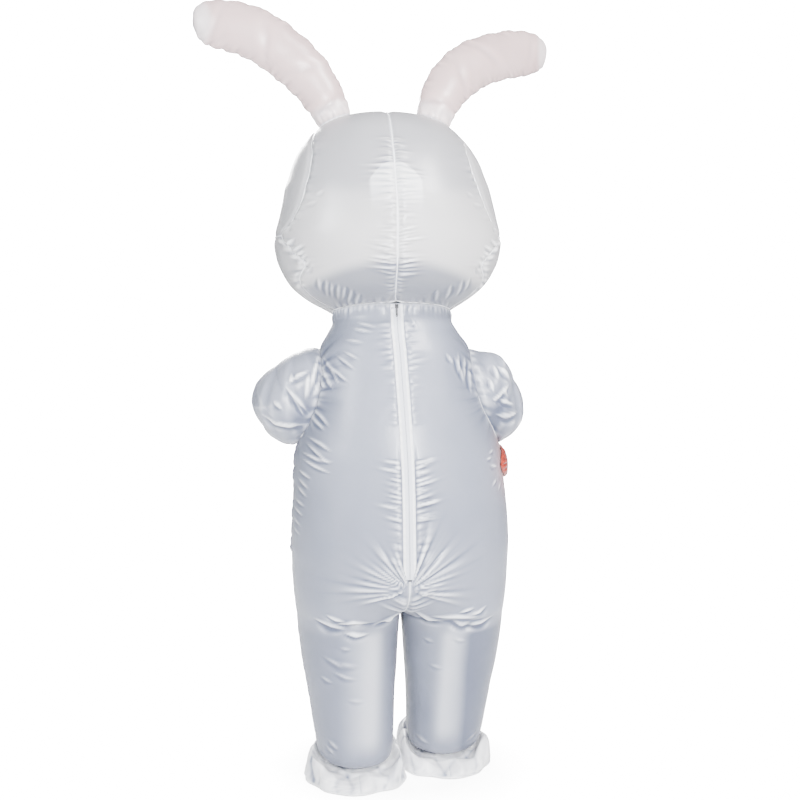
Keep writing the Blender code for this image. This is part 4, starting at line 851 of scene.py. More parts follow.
def plain_material(name, light, dark, rough, scale, metallic=0.0, stretch=(1, 1, 1)):
    """Tape, cord, elastic, plastic or metal: two tones and a fine relief from one noise."""
    material, tree, shader = nodes_of(name)
    place = node(tree, "ShaderNodeTexCoord").outputs["Object"]
    mapping = node(tree, "ShaderNodeMapping", Vector=place, Scale=stretch)
    grain = node(tree, "ShaderNodeTexNoise", Vector=mapping.outputs["Vector"], Scale=scale,
                 Detail=4.0, Roughness=0.6).outputs["Fac"]
    relief = node(tree, "ShaderNodeBump", Strength=0.2, Distance=0.0004, Height=grain)
    dress(tree, shader, Base_Color=ramp(tree, grain, (0.3, dark), (0.7, light)),
          Roughness=ramp(tree, grain, (0.3, grey(rough * 0.85)), (0.7, grey(rough * 1.15))),
          Normal=relief.outputs["Normal"], Metallic=metallic)
    material.diffuse_color = (*light, 1)
    return material


def film_material():
    material, tree, shader = nodes_of("clear_film_sheet")
    place = node(tree, "ShaderNodeTexCoord").outputs["Object"]
    ripple = node(tree, "ShaderNodeTexNoise", Vector=place, Scale=14.0, Detail=2.0).outputs["Fac"]
    relief = node(tree, "ShaderNodeBump", Strength=0.3, Distance=0.002, Height=ripple)
    colour = ramp(tree, ripple, (0.3, (0.86, 0.90, 0.93)), (0.7, (0.95, 0.97, 0.98)))
    dress(tree, shader, Base_Color=colour, Normal=relief.outputs["Normal"], Roughness=0.08,
          Transmission_Weight=0.85, IOR=1.2, Alpha=0.45)
    return material


WHITE = taffeta("white_taffeta_cloth", (0.335, 0.352, 0.422), (0.295, 0.315, 0.385))
HEAD_WHITE = taffeta("white_taffeta_head", (0.53, 0.52, 0.525), (0.48, 0.47, 0.48))
EAR_WHITE = taffeta("white_taffeta_ear", (0.70, 0.52, 0.50), (0.60, 0.43, 0.42))
SHOE_WHITE = taffeta("white_taffeta_shoe", (0.86, 0.86, 0.88), (0.76, 0.76, 0.79), crinkle=0.2)
SOLE_GREY = taffeta("taffeta_sole", (0.42, 0.42, 0.44), (0.36, 0.36, 0.38), rough=0.55)
PINK = taffeta("pink_taffeta_cloth", (0.86, 0.50, 0.52), (0.78, 0.42, 0.45),
               seam=(0.90, 0.62, 0.62))
ORANGE = taffeta("orange_taffeta_cloth", (0.32, 0.012, 0.001), (0.28, 0.010, 0.001),
                 seam=(0.36, 0.020, 0.002))
TAPE = taffeta("zip_tape_weave", (0.56, 0.59, 0.68), (0.50, 0.53, 0.62), seam=(1.0, 1.0, 1.0),
               rough=0.65, weave=0.5, crinkle=0.05)
THREAD = plain_material("seam_thread", (0.98, 0.98, 0.99), (0.93, 0.93, 0.95), 0.4, 400.0)
COIL = plain_material("zip_coil_nylon", (0.44, 0.46, 0.53), (0.34, 0.36, 0.42), 0.45, 500.0)
ELASTIC = plain_material("elastic_knit", (0.82, 0.82, 0.84), (0.68, 0.68, 0.71), 0.85, 260.0,
                         stretch=(1, 6, 1))
METAL = plain_material("zip_metal_worn", (0.060, 0.060, 0.064), (0.030, 0.030, 0.033), 0.50,
                       240.0, metallic=1.0)
PLASTIC = plain_material("fan_plastic_moulded", (0.80, 0.80, 0.82), (0.72, 0.72, 0.74), 0.42,
                         350.0)
FILM = film_material()


# Body
ARM_CENTRE_Z = 1.176
SEAT_FOLD_LEVEL = 15.1
ZIP_CLEAR = 0.019
FAN_X, FAN_Z = 0.002, 0.632
FRONT_MIDDLE_X = 0.006
# The painted highlight band down each leg: x and width
LEG_SHINE = {LEFT: (0.092, 0.060), RIGHT: (-0.128, 0.050)}
# The patch's reddish light on the cloth beside it
GLOW_PLACE = np.array([-0.322, -0.02, 0.968])
GLOW_SPREAD = np.array([1, 2.6, 1.5])
# Puckers square to a seam: start, stop, count, length, height, seed and slant
ZIP_GATHERS = (
    (1.255, 1.395, 9, 0.055, 0.0042, 0, 0),
    (1.10, 1.24, 7, 0.040, 0.0026, 8, 0),
    (0.825, 1.000, 14, 0.075, 0.0072, 1, 0.20),
    (0.70, 0.82, 6, 0.060, 0.0034, 7, 0.20),
    (0.535, 0.600, 4, 0.090, 0.0060, 5, 0.55),
)
LEG_GATHERS = (0.10, 0.66, 15, 0.040, 0.0022, 6, 0)
SIDE_GATHERS = {
    LEFT: ((0.70, 1.10, 17, 0.080, 0.0050, 4, 0), LEG_GATHERS),
    RIGHT: ((0.86, 1.05, 8, 0.060, 0.0045, 4, 0), LEG_GATHERS),
}
FRONT_GATHERS = ((0.80, 1.28, 22, 0.065, 0.0042, 0, 0), (0.56, 0.74, 8, 0.120, 0.0055, 1, 0.4))
FRONT_SIDE_GATHERS = ((0.76, 1.05, 7, 0.050, 0.0028, 2, 0),)
SEAMS = {"body": [], "head": [], "ears": [], "sleeves": [], "shoes": []}


def add_seam(group, cloth, row=None, column=None, lift=0.0006, start=0):
    """Keeps one edge of a cloth as a line of stitching, a little above it."""
    if column is not None:
        points, normals = cloth.placed()[:, column], cloth.normals[:, column]
    else:
        points, normals = cloth.placed()[row], cloth.normals[row]
    SEAMS[group].append((points[start:] + normals[start:] * lift, normals[start:]))


def seat_fold(t, level, wide, deep):
    """The soft trough under the seat, across the top of a leg."""
    slope = (level - SEAT_FOLD_LEVEL + 0.5 * t) / deep
    return np.exp(-((t - 0.55) / wide) ** 2) * np.exp(-slope ** 2)


def body_panel(side, face):
    back = face == BACK
    edge = np.zeros(1)
    rows = even_rows(lambda v: body_point(side, face, edge + 0.35, v), 0, BODY_END,
                     0.0038 if back else 0.0062)
    t, level = np.meshgrid(spaced(96 if back else 72, 0.55), rows)
    cloth = Cloth(body_point(side, face, t, level), body_normal(side, face, t, level))
    x, y, z = cloth.x, cloth.y, cloth.z
    cloth.soften(seed=5)
    near_arm = np.hypot(y / 0.110, (z - ARM_CENTRE_Z) / 0.136)
    away = np.maximum(near_arm - 1.0, 0) * 0.12
    outside = smooth(((x - 0.012) * side - 0.10) / 0.04)
    inner = smooth((t - 0.62) / 0.12) * smooth((0.56 - z) / 0.10)
    # Painted shade: darker round the armholes and on the inner sides of the legs, darker over the
    # whole panel and darker still towards the bottom
    cloth.tone -= 0.42 * bell(away / 0.080) * outside + 0.06 * inner
    cloth.tone -= 0.17 + 0.12 * smooth((1.05 - z) / 0.25)
    cloth.dip(cloth.first, 0.0040)
    cloth.seam_band(cloth.first, 0.0045)
    if back:
        dress_back(cloth, side, t, level, away, outside)
    else:
        dress_front(cloth, side, t, level)
    cloth.dip(cloth.top, 0.003)
    cloth.seam_band(cloth.top, 0.004)
    cloth.gathers(cloth.first, cloth.top, 0.0, float(cloth.first[0, -1]), 16, 0.040, 0.0036,
                  91 + side)
    arm = np.hypot((y + 0.001) / 0.104, (z - ARM_CENTRE_Z) / 0.130)
    cloth.drop((arm < 0.97) & (side * (x - 0.012) > 0.12) & (z > 0.9))
    return cloth, level


def dress_back(cloth, side, t, level, away, outside):
    """Puckers and folds of a back panel, beside the zip and down the leg, with painted shade on the
    legs and in the seat trough, a painted highlight band down each leg and the patch's reddish
    light beside it.
    """
    x, y, z = cloth.x, cloth.y, cloth.z
    centre_line = cloth.last
    zip_zone = smooth((z - ZIP_END + 0.01) / 0.02)
    cloth.height *= 1 - zip_zone * smooth((0.030 - centre_line) / 0.010)
    cloth.dip(centre_line, 0.0045 * (1 - zip_zone))
    cloth.seam_band(centre_line + 1.0 * zip_zone, 0.0045)
    beside = np.maximum(centre_line - ZIP_CLEAR * zip_zone, 0)
    seed = 11 if side == LEFT else 31
    cloth.gather_rows(z, beside, ZIP_GATHERS, seed)
    level_x = np.abs(x - FAN_X)
    fan_angle = np.degrees(np.arctan2(z - FAN_Z, level_x))
    fan_reach = np.maximum(np.hypot(level_x, z - FAN_Z) - 0.012, 0)
    cloth.gathers(fan_angle, fan_reach, -22, 74, 11, 0.200, 0.0085, seed + 2, rise=0.36)
    ring = np.degrees(np.arctan2(y, z - ARM_CENTRE_Z))
    cloth.gathers(ring, away, 8, 130, 10, 0.090, 0.0055 * outside, seed + 3)
    cloth.gather_rows(z, cloth.first, SIDE_GATHERS[side], seed)
    behind = smooth((cloth.normals[..., 1] - 0.08) / 0.30)
    cloth.folds(LEG_FOLDS, where=behind, scale=0.45)
    cloth.folds(SEAT_FOLDS, where=behind, scale=0.9, glint=1.0)
    cloth.folds(SHOULDER_FOLDS, where=behind, scale=0.45, glint=0.40, narrow=0.72)
    cloth.folds(SIDE_FOLDS, where=behind, scale=0.45, glint=0.25, narrow=0.75)
    leg = smooth((0.50 - z) / 0.04)
    # Painted shade on the legs, darkest on their outer sides, with the right leg's inner side
    # painted lighter
    cloth.tone -= 0.14 * leg * behind
    if side == RIGHT:
        cloth.tone -= 0.55 * leg * smooth((-x - 0.155) / 0.05)
        cloth.tone += 0.12 * leg * smooth((x + 0.08) / 0.03)
        distance = np.linalg.norm((cloth.points - GLOW_PLACE) / GLOW_SPREAD, axis=-1)
        cloth.glow = 0.50 * bell(distance / 0.055)
    else:
        cloth.tone -= 0.12 * leg * smooth((x - 0.16) / 0.05)
    # A painted highlight band down each leg, also painted whiter
    band_x, band_width = LEG_SHINE[side]
    off = (x - band_x - 0.03 * (0.45 - z)) / band_width
    shine = np.where(off * side < 0, bell(off / 0.45), bell(off))
    shine = shine * leg * smooth((z - 0.08) / 0.08) * behind
    cloth.tone += 0.50 * shine
    cloth.whiten(0.24 * shine)
    under_zip = bell(centre_line / (0.0005 + 0.16 * np.clip(z - 0.612, 0, 0.06)))
    cloth.whiten(under_zip * (z > 0.612) * (1 - zip_zone))
    fold = seat_fold(t, level, 0.26, 0.33)
    cloth.height -= 0.012 * fold
    # Painted shade in the trough under the seat
    cloth.tone -= 0.25 * fold * smooth((0.64 - z) / 0.05)


def dress_front(cloth, side, t, level):
    """The front's seam puckers, and the back's folds mirrored on it."""
    # Painted lighter: the front drops most of the painted darkening that every panel gets
    cloth.tone += 0.20
    cloth.dip(cloth.last, 0.0040)
    cloth.seam_band(cloth.last, 0.0045)
    seed = 51 if side == LEFT else 71
    cloth.gather_rows(cloth.z, cloth.last, FRONT_GATHERS, seed)
    cloth.gather_rows(cloth.z, cloth.first, FRONT_SIDE_GATHERS, seed)
    before = smooth((-cloth.normals[..., 1] - 0.08) / 0.30)
    for rows in (LEG_FOLDS, SHOULDER_FOLDS, SIDE_FOLDS):
        cloth.folds(rows, where=before, scale=0.7, mirror=FRONT_MIDDLE_X)
    cloth.height -= 0.008 * seat_fold(t, level, 0.24, 0.30)


def each_side():
    return ((LEFT, "left"), (RIGHT, "right"))


def each_face():
    return ((BACK, "back"), (FRONT, "front"))


def build_body():
    for side, side_name in each_side():
        for face, face_name in each_face():
            cloth, level = body_panel(side, face)
            if face == FRONT and side == LEFT:
                port = body_point(LEFT, FRONT, np.array([0.50]), np.array([9.3]))[0]
                away = np.linalg.norm(cloth.points - port, axis=-1)
                cloth.drop(away < 0.041)
                cloth.height *= smooth((away - 0.052) / 0.02)
            cloth_piece(f"cloth_body_{face_name}_{side_name}", cloth, WHITE,
                        [f"body_{face_name}_{side_name}"])
            if face == BACK:
                add_seam("body", cloth, column=0)
                first = int(np.searchsorted(level[:, 0], ZIP_LEVEL))
                add_seam("body", cloth, column=-1, start=first)
            else:
                add_seam("body", cloth, column=-1)
            add_seam("body", cloth, row=-1, lift=0)


# Head
def head_cloth(side, turn_from, turn_to, s_from, s_to, columns, step):
    rows = even_rows(lambda s: head_point(side, np.full_like(s, 35.0), s), s_from, s_to, step)
    u, s = np.meshgrid(columns, rows)
    turn = turn_from(s) + (turn_to(s) - turn_from(s)) * u
    cloth = Cloth(head_point(side, turn, s), head_normal(side, turn, s))
    cloth.soften(size=0.20, amount=0.0018, seed=9)
    return cloth, turn, s


def ear_room(cloth, side):
    x = cloth.x - (0.197 if side == LEFT else -0.101)
    y = cloth.y + (0.0 if side == LEFT else 0.002)
    near = np.hypot(x / 0.050, y / 0.038)
    high = cloth.z > 1.90
    return np.where(high, near, 9.0)


HEAD_GATHERS = (
    (1.844, 1.915, 9, 0.055, 0.0040, 0, 0),
    (1.715, 1.844, 13, 0.085, 0.0052, 7, 0),
    (1.652, 1.715, 5, 0.060, 0.0040, 8, 0),
    (1.528, 1.652, 14, 0.085, 0.0066, 9, 0.12),
    (1.470, 1.528, 7, 0.045, 0.0036, 10, 0),
)
HEAD_SIDE_GATHERS = ((0.19, 0.47, 9, 0.070, 0.0040, 1, 0), (0.50, 0.92, 14, 0.055, 0.0034, 2, 0))
# The window: half width in degrees, and the middle and half height in s
WINDOW_TURN, WINDOW_S, WINDOW_RISE = 22, 0.335, 0.095


def seam_turn(s):
    return SIDE_SEAM.at("turn", s)


def far_seam_turn(s):
    return 180 - seam_turn(s)


def dress_head_back(back, side, s, seed):
    """Puckers and folds of a back panel, with painted light and shade: painted shade below a low
    arch and on the crown, and a painted bright zone under the crown.
    """
    mirror = None if side == LEFT else HEAD_MIDDLE_X
    neck_rows = NECK_FOLDS if side == LEFT else NECK_FOLDS[::2]
    back.dip(back.first, 0.0045, 0.011)
    back.gather_rows(back.z, back.first, HEAD_GATHERS, seed)
    back.dip(back.last, 0.0050 * smooth((1 - s) / 0.03))
    back.gather_rows(s, back.last, HEAD_SIDE_GATHERS, seed)
    back.gathers(back.first, back.top, 0.02, 0.19, 8, 0.060, 0.0045, seed + 3)
    back.folds(HEAD_FOLDS, mirror=mirror, scale=0.40, glint=0.45, narrow=0.72)
    back.folds(neck_rows, mirror=mirror, scale=0.55, glint=0.25)
    # Painted light and shade: lighter below the crown, darker on the crown but for a bright zone by
    # the centre seam that is also painted whiter, and painted shade below an arch low on the head
    arch = 1.590 - 1.1 * (back.x - HEAD_MIDDLE_X) ** 2
    zone_top = 1.846 - 9.5 * back.first ** 2
    zone = smooth((zone_top - back.z) / 0.005) * smooth((back.z - 1.69) / 0.10)
    back.tone += 0.20 * smooth((1.80 - back.z) / 0.16)
    clear = 1 - zone * smooth((0.080 - back.first) / 0.012)
    back.tone -= 0.22 * smooth((back.z - 1.74) / 0.05) * clear
    back.seam = 0.65 * zone * smooth((0.078 - back.first) / 0.010)
    back.tone -= 0.80 * smooth((arch - back.z) / 0.045)


def build_head():
    for side, side_name in each_side():
        seed = 111 if side == LEFT else 141
        back, _, s = head_cloth(side, np.zeros_like, seam_turn, 0, 1, spaced(92, 0.6), 0.0034)
        dress_head_back(back, side, s, seed)
        front, turn, s = head_cloth(side, lambda s: 0 * s + 180, far_seam_turn, 0, 1,
                                    spaced(66, 0.5), 0.0058)
        front.dip(front.first, 0.0038)
        front.dip(front.last, 0.0045)
        front.gathers(front.z, front.first, 1.72, 1.93, 10, 0.060, 0.0026, seed + 4)
        window = np.hypot((180 - turn) / WINDOW_TURN, (s - WINDOW_S) / WINDOW_RISE)
        front.drop(window < 0.99)
        front.height *= smooth((window - 1.05) / 0.25)
        upper, _, _ = head_cloth(side, seam_turn, far_seam_turn, CHEEK_S, SIDE_TIP_S,
                                 spaced(70, 0.5), 0.0050)
        cheek, _, s = head_cloth(side, seam_turn, far_seam_turn, 0, CHEEK_S, spaced(70, 0.5),
                                 0.0050)
        for cloth in (upper, cheek):
            cloth.dip(cloth.first, 0.0045)
            cloth.dip(cloth.last, 0.0045)
        cheek.gathers(s, cheek.first, 0.19, 0.47, 8, 0.080, 0.0050, seed + 5)
        cheek.dip(cheek.bottom, 0.003)
        cheek.seam_band(cheek.bottom)
        parts = (("back", back), ("front", front), ("side", upper), ("cheek", cheek))
        for part, cloth in parts:
            if part != "cheek":
                near = ear_room(cloth, side)
                cloth.drop(near < 0.93)
                cloth.height -= 0.004 * bell((near - 1.05) / 0.25)
            cloth.dip(cloth.top, 0.003)
            for distance in (cloth.first, cloth.last, cloth.top):
                cloth.seam_band(distance)
            cloth_piece(f"cloth_head_{part}_{side_name}", cloth, HEAD_WHITE,
                        [f"head_{part}_{side_name}"])
        if side == LEFT:
            add_seam("head", back, column=0)
            add_seam("head", front, column=0)
        for cloth in (back, upper, cheek):
            add_seam("head", cloth, column=-1)
        add_seam("head", cheek, row=-1)
        for cloth in (back, cheek, front):
            add_seam("head", cloth, row=0, lift=0.001)


# Sleeves
def inside_torso(points):
    levels = np.linspace(0, 10, 400)
    heights = BODY.at("side_z", levels)
    level = np.interp(-points[..., 2], -heights, levels)
    x = np.abs(points[..., 0] - BODY.at("lean", level)) / BODY.at("half_width", level)
    depth = np.where(points[..., 1] > 0, BODY.at("back", level), BODY.at("front", level))
    y = np.abs(points[..., 1]) / depth
    return x ** (2 / SQUARENESS) + y ** (2 / SQUARENESS) - 1


def inside_head(points):
    shares = np.linspace(0, 1, 600)
    s = np.interp(points[..., 2], HEAD.at("z", shares), shares)
    half = np.maximum(HEAD.at("half_width", s), 1e-4)
    x = np.abs(points[..., 0] - HEAD.at("lean", s)) / half
    y = np.abs(points[..., 1]) / np.maximum(HEAD.at("back", s), 1e-4)
    return x ** (2 / SQUARENESS) + y ** (2 / SQUARENESS) - 1


def entry(point, inside, u, low, high):
    """For each u, the ring at which a tube comes out of the piece that it opens on."""
    low = np.full_like(u, low)
    high = np.full_like(u, high)
    for _ in range(30):
        middle = (low + high) / 2
        within = inside(point(u, middle)) < 0
        low = np.where(within, middle, low)
        high = np.where(within, high, middle)
    return (low + high) / 2


# Ring furrows at the elbow: ring, slant, depth and width, and under the arm: ring, place, depth
ELBOW_RINGS = (
    (2.75, 1.3, 0.0030, 0.24), (3.95, 0.1, 0.0034, 0.26), (5.10, -0.9, 0.0024, 0.24),
)
FOREARM_RINGS = ((6.6, 0.62, 0.0030), (7.7, 0.40, 0.0035), (8.9, 0.70, 0.0030))
# Flat faces of the crumpled sleeve: direction in radians, spacing, height and phase
SLEEVE_FACETS = ((0.9, 0.085, 0.012, 0.4), (2.2, 0.100, 0.010, 1.1))


def build_sleeves():
    for side, side_name in each_side():
        u_line = np.linspace(0, 1, 150)
        start = entry(lambda u, r: sleeve_point(side, u, r), inside_torso, u_line, 0.0, 4.5)
        u, f = np.meshgrid(u_line, np.linspace(0, 1, 150))
        ring = start[None, :] + (12 - start[None, :]) * f
        cloth = Cloth(sleeve_point(side, u, ring), sleeve_normal(side, u, ring))
        cloth.normals[:, -1] = cloth.normals[:, 0]
        cloth.soften(size=0.13, amount=0.0022, seed=21)
        outer = bell((u - 0.26) / 0.20)
        for middle, lean, depth, width in ELBOW_RINGS:
            place = middle + lean * (u - 0.30)
            cloth.height -= depth * outer * bell((ring - place) / width)
            cloth.height += 0.45 * depth * outer * bell((ring - place - 0.36) / 0.2)
        for middle, turn, depth in FOREARM_RINGS:
            place = middle + 0.8 * (u - turn)
            cloth.height -= depth * bell((u - turn) / 0.16) * bell((ring - place) / 0.22)
        length = float(cloth.first[0, -1])
        cloth.gathers(u * length, cloth.top, 0, length, 24, 0.055, 0.0042,
                      201 if side == LEFT else 231)
        facing = smooth((cloth.normals[..., 1] + 0.15) / 0.3)
        cloth.folds(ARM_FOLDS, where=0.35 + 0.65 * facing, scale=0.65, glint=0.6, narrow=0.85)
        ends = smooth(cloth.top / 0.05) * smooth(cloth.bottom / 0.05)
        for turn, size, rise, phase in SLEEVE_FACETS:
            line = cloth.x * math.cos(turn) + cloth.z * math.sin(turn)
            bent = line + 0.3 * cloth.y + 0.02 * noise(cloth.points, 0.15, phase)
            cloth.height += rise * (np.abs((bent / size + phase) % 2 - 1) - 0.5) * ends
        # Painted shade at the armhole seam and under the arm
        under_arm = np.hypot(np.abs(cloth.x) - 0.285, cloth.z - 1.105)
        cloth.tone -= 0.30 * bell(cloth.top / 0.05) + 0.60 * bell(under_arm / 0.060)
        cloth.dip(cloth.top, 0.004, 0.014)
        long_seam = np.minimum(cloth.first, cloth.last)
        cloth.dip(long_seam, 0.003, 0.010)
        wrist = smooth((0.050 - cloth.bottom) / 0.050)
        folds = np.abs(np.sin(17 * math.pi * u + 0.6 * np.sin(6 * math.pi * u)))
        cloth.height += wrist * 0.0026 * (folds - 0.6) * smooth(cloth.bottom / 0.006 + 0.15)
        cloth.height[:, -1] = cloth.height[:, 0]
        cloth.seam_band(cloth.top, 0.004)
        cloth.seam_band(long_seam)
        cloth_piece(f"cloth_sleeve_{side_name}", cloth, WHITE,
                    [f"sleeve_{side_name}"])
        add_seam("sleeves", cloth, row=0)
        add_seam("sleeves", cloth, column=0)
        build_cuff(side, side_name)


def build_cuff(side, side_name):
    """A short elastic band, drawn in by fine gathers."""
    u, f = np.meshgrid(np.linspace(0, 1, 160), np.linspace(0, 1, 14))
    last = np.array(12.0)
    centre = sleeve_centre(side, last)
    outward, along = sleeve_frame(side, last)
    angle = 2 * math.pi * u
    ribs = 0.0007 * np.sin(angle * 34) - 0.0012 * f + 0.0005 * np.sin(8 * math.pi * f)
    radius = CUFF_RADIUS - 0.0004 + ribs
    up = np.array([0, 0, 1.0])
    out = outward * np.sin(angle)[..., None] - up * np.cos(angle)[..., None]
    points = centre + along * (f * CUFF_LENGTH)[..., None] + out * radius[..., None]
    cloth = Cloth(points, out)
    cloth_piece(f"cloth_cuff_{side_name}", cloth, ELASTIC, [f"cuff_{side_name}"])


# Ears: furrows across them, with ring, slant, depth and width
EAR_RINGS = (
    (1.75, 0.5, 0.0030, 0.16), (3.3, -1.6, 0.0022, 0.22), (5.2, 1.5, 0.0024, 0.22),
    (7.6, -1.2, 0.0018, 0.24),
)


def build_ears():
    for side, side_name in each_side():
        for face, face_name in each_face():
            u_line = spaced(64, 0.45)
            point = lambda u, r: ear_point(side, face, u, r)
            start = entry(point, inside_head, u_line, 0.0, 3.0)
            u, f = np.meshgrid(u_line, np.linspace(0, 1, 165) ** 0.93)
            ring = start[None, :] + (11 - start[None, :]) * f
            cloth = Cloth(point(u, ring), ear_normal(side, face, u, ring))
            seed = 301 + 20 * (side == LEFT) + 5 * (face == BACK)
            cloth.soften(size=0.10, amount=0.0014, seed=31)
            inner = smooth(cloth.bottom / 0.10)
            for edge in (cloth.first, cloth.last):
                cloth.gathers(cloth.top, edge, 0.03, 0.52, 23, 0.045, 0.0030 * inner, seed)
                cloth.dip(edge, 0.0015, 0.006)
                cloth.seam_band(edge, 0.003)
                seed += 2
            for middle, lean, depth, width in EAR_RINGS:
                place = middle + lean * (u - 0.5) + 0.3 * uneven(middle, seed)
                wide = bell((u - 0.5 + 0.12 * math.sin(middle * 5)) / 0.26)
                cloth.height -= depth * wide * bell((ring - place) / width)
                cloth.height += 0.4 * depth * wide * bell((ring - place - 0.42) / 0.25)
            cloth.dip(cloth.top, 0.003)
            cloth.gathers(cloth.first, cloth.top, 0, float(cloth.first[0, -1]), 8, 0.045, 0.0030,
                          seed + 9)
            cloth.seam_band(cloth.top, 0.004)
            cloth.height *= smooth(cloth.bottom / 0.02)
            cap = 0.45 * smooth((0.085 - cloth.bottom) / 0.030)
            collar = 0.35 * smooth((0.060 - cloth.top) / 0.030)
            cloth.whiten(np.maximum(cap, collar))
            cloth.height[:, [0, -1]] = np.minimum(cloth.height[:, [0, -1]], 0.0)
            material, slot = ((EAR_WHITE, "white_taffeta") if face == BACK
                              else (PINK, "pink_taffeta"))
            cloth_piece(f"cloth_ear_{side_name}_{face_name}", cloth, material,
                        [f"ear_{side_name}_{face_name}"])
            add_seam("ears", cloth, row=0)
            if face == BACK:
                add_seam("ears", cloth, column=0)
                add_seam("ears", cloth, column=-1)


# Shoe covers: direction in radians, spacing, height and phase of each set of crisp creases,
# and where each toe line lies beside the middle
SHOE_CREASES = ((0.4, 0.050, 0.0075, 0.3), (1.5, 0.064, 0.0070, 0.9), (2.5, 0.056, 0.0065, 1.6))
TOE_LINES = (-0.048, 0.042)


def build_shoes():
    for shoe, (_, side_name) in zip(SHOES, each_side()):
        foot = int(shoe["foot"])
        u, v = np.meshgrid(np.linspace(0, 1, 200), np.linspace(0, 1, 70))
        cloth = Cloth(shoe_point(shoe, u, v), shoe_normal(shoe, u, v))
        cloth.normals[:, -1] = cloth.normals[:, 0]
        cloth.soften(size=0.07, amount=0.0050, seed=41 + foot)
        for turn, size, rise, phase in SHOE_CREASES:
            line = cloth.x * math.cos(turn) + cloth.y * math.sin(turn)
            bent = line + 0.015 * noise(cloth.points, 0.11, phase) + 0.5 * cloth.z
            facet = np.abs((bent / size + phase) % 2 - 1)
            cloth.height += rise * (facet - 0.6)
            # Painted shade in each crease's trough and a painted highlight along its ridge
            cloth.tone -= 0.34 * bell(facet / 0.12) - 0.05
            cloth.whiten(0.7 * bell((1 - facet) / 0.10))
        for toe_x in TOE_LINES:
            front = smooth((shoe["y"] - cloth.y - 0.12) / 0.06)
            groove = bell((cloth.x - shoe["x"] - toe_x) / 0.006) * front
            cloth.height -= 0.006 * groove
            cloth.tone -= 0.7 * groove
        cloth.gathers(cloth.first, cloth.top, 0, float(cloth.first[0, -1]), 46, 0.040, 0.0030,
                      401 + foot)
        cloth.height *= smooth(cloth.top / 0.010)
        cloth.height *= 1 - smooth((v - 0.60) / 0.1)
        cloth.height[:, -1] = cloth.height[:, 0]
        cloth.seam_band(cloth.top, 0.004)
        cloth_piece(f"cloth_shoe_{side_name}_upper", cloth, SHOE_WHITE,
                    [f"shoe_{side_name}_upper"])
        add_seam("shoes", cloth, row=0, lift=0.0)
        turn, r = np.meshgrid(np.linspace(0, 1, 140), np.linspace(0.02, 1, 24))
        edge = shoe_point(shoe, turn, np.zeros_like(turn))
        centre = np.array([shoe["x"], shoe["y"], 0])
        points = centre + (edge - centre) * r[..., None]
        points[..., 2] = SOLE_UNDER
        sole = Cloth(points, np.broadcast_to(np.array([0, 0, -1.0]), points.shape).copy())
        cloth_piece(f"cloth_shoe_{side_name}_sole", sole, SOLE_GREY,
                    [f"shoe_{side_name}_sole"])


# Zip
def zip_point(x, level):
    """A point up the centre back at a distance x from the centre."""
    half = BODY.at("half_width", level)
    t = np.arccos((np.abs(x) / half) ** (1 / SQUARENESS)) / (math.pi / 2)
    left = body_point(LEFT, BACK, t, level)
    lean = BODY.at("lean", level)
    left[..., 0] = np.where(x < 0, 2 * lean - left[..., 0], left[..., 0])
    return left


def zip_normal(level):
    return body_normal(LEFT, BACK, np.ones_like(level), level)


STITCH_LINES = (-0.0172, -0.0110, 0.0110, 0.0172)
TAPE_EDGE_BEND = 0.0165
TAPE_MARGIN, TAPE_MARGIN_WIDTH = 0.0145, 0.0048


def beside_zip(x, start, stop, step):
    """Levels down the centre back whose points lie evenly, at a distance x beside the zip."""
    return even_rows(lambda v: zip_point(np.zeros_like(v) + x, v), start, stop, step)


def build_zip():
    levels = beside_zip(0.001, 0.10, ZIP_LEVEL, 0.0035)
    for side, side_name in each_side():
        x, level = np.meshgrid(np.linspace(TAPE_INNER, TAPE_OUTER, 9), levels)
        cloth = Cloth(zip_point(side * x, level), zip_normal(level))
        wave = 0.0005 * np.sin(cloth.z * 260 + side) + 0.0005 * np.sin(cloth.z * 117 + 2 * side)
        edge = (x - TAPE_INNER) / (TAPE_OUTER - TAPE_INNER)
        cloth.height = TAPE_HEIGHT + 0.0002 + wave * edge ** 2
        cloth.dip(x - TAPE_EDGE_BEND, 0.0006, 0.0012)
        cloth.tone[:] = 0.95
        cloth.seam_band(x - TAPE_MARGIN, TAPE_MARGIN_WIDTH)
        cloth.whiten(0.35)
        cloth_piece(f"cloth_zip_tape_{side_name}", cloth, TAPE,
                    [f"zip_tape_{side_name}"])
    build_stitches()
    build_coil()


def dashes(name, centres, alongs, normals, sizes, material, nodes=()):
    """Short rounded stitches or teeth, each a small closed block with a raised middle."""
    sides = unit(np.cross(alongs, normals))
    length, width, height = sizes
    verts, faces = [], []
    corners = ((-1, -1, 0), (1, -1, 0), (1, 1, 0), (-1, 1, 0), (-0.5, -0.4, 1), (0.5, -0.4, 1),
               (0.5, 0.4, 1), (-0.5, 0.4, 1))
    pattern = ((0, 1, 5, 4), (1, 2, 6, 5), (2, 3, 7, 6), (3, 0, 4, 7), (4, 5, 6, 7), (3, 2, 1, 0))
    for centre, along, side, normal in zip(centres, alongs, sides, normals):
        start = len(verts)
        for a, b, c in corners:
            verts.append(tuple(centre + along * (a * length / 2) + side * (b * width / 2)
                               + normal * (c * height)))
        faces.extend(tuple(start + k for k in face) for face in pattern)
    data = bpy.data.meshes.new(name)
    data.from_pydata(verts, [], faces)
    finish_piece(name, data, material, nodes)


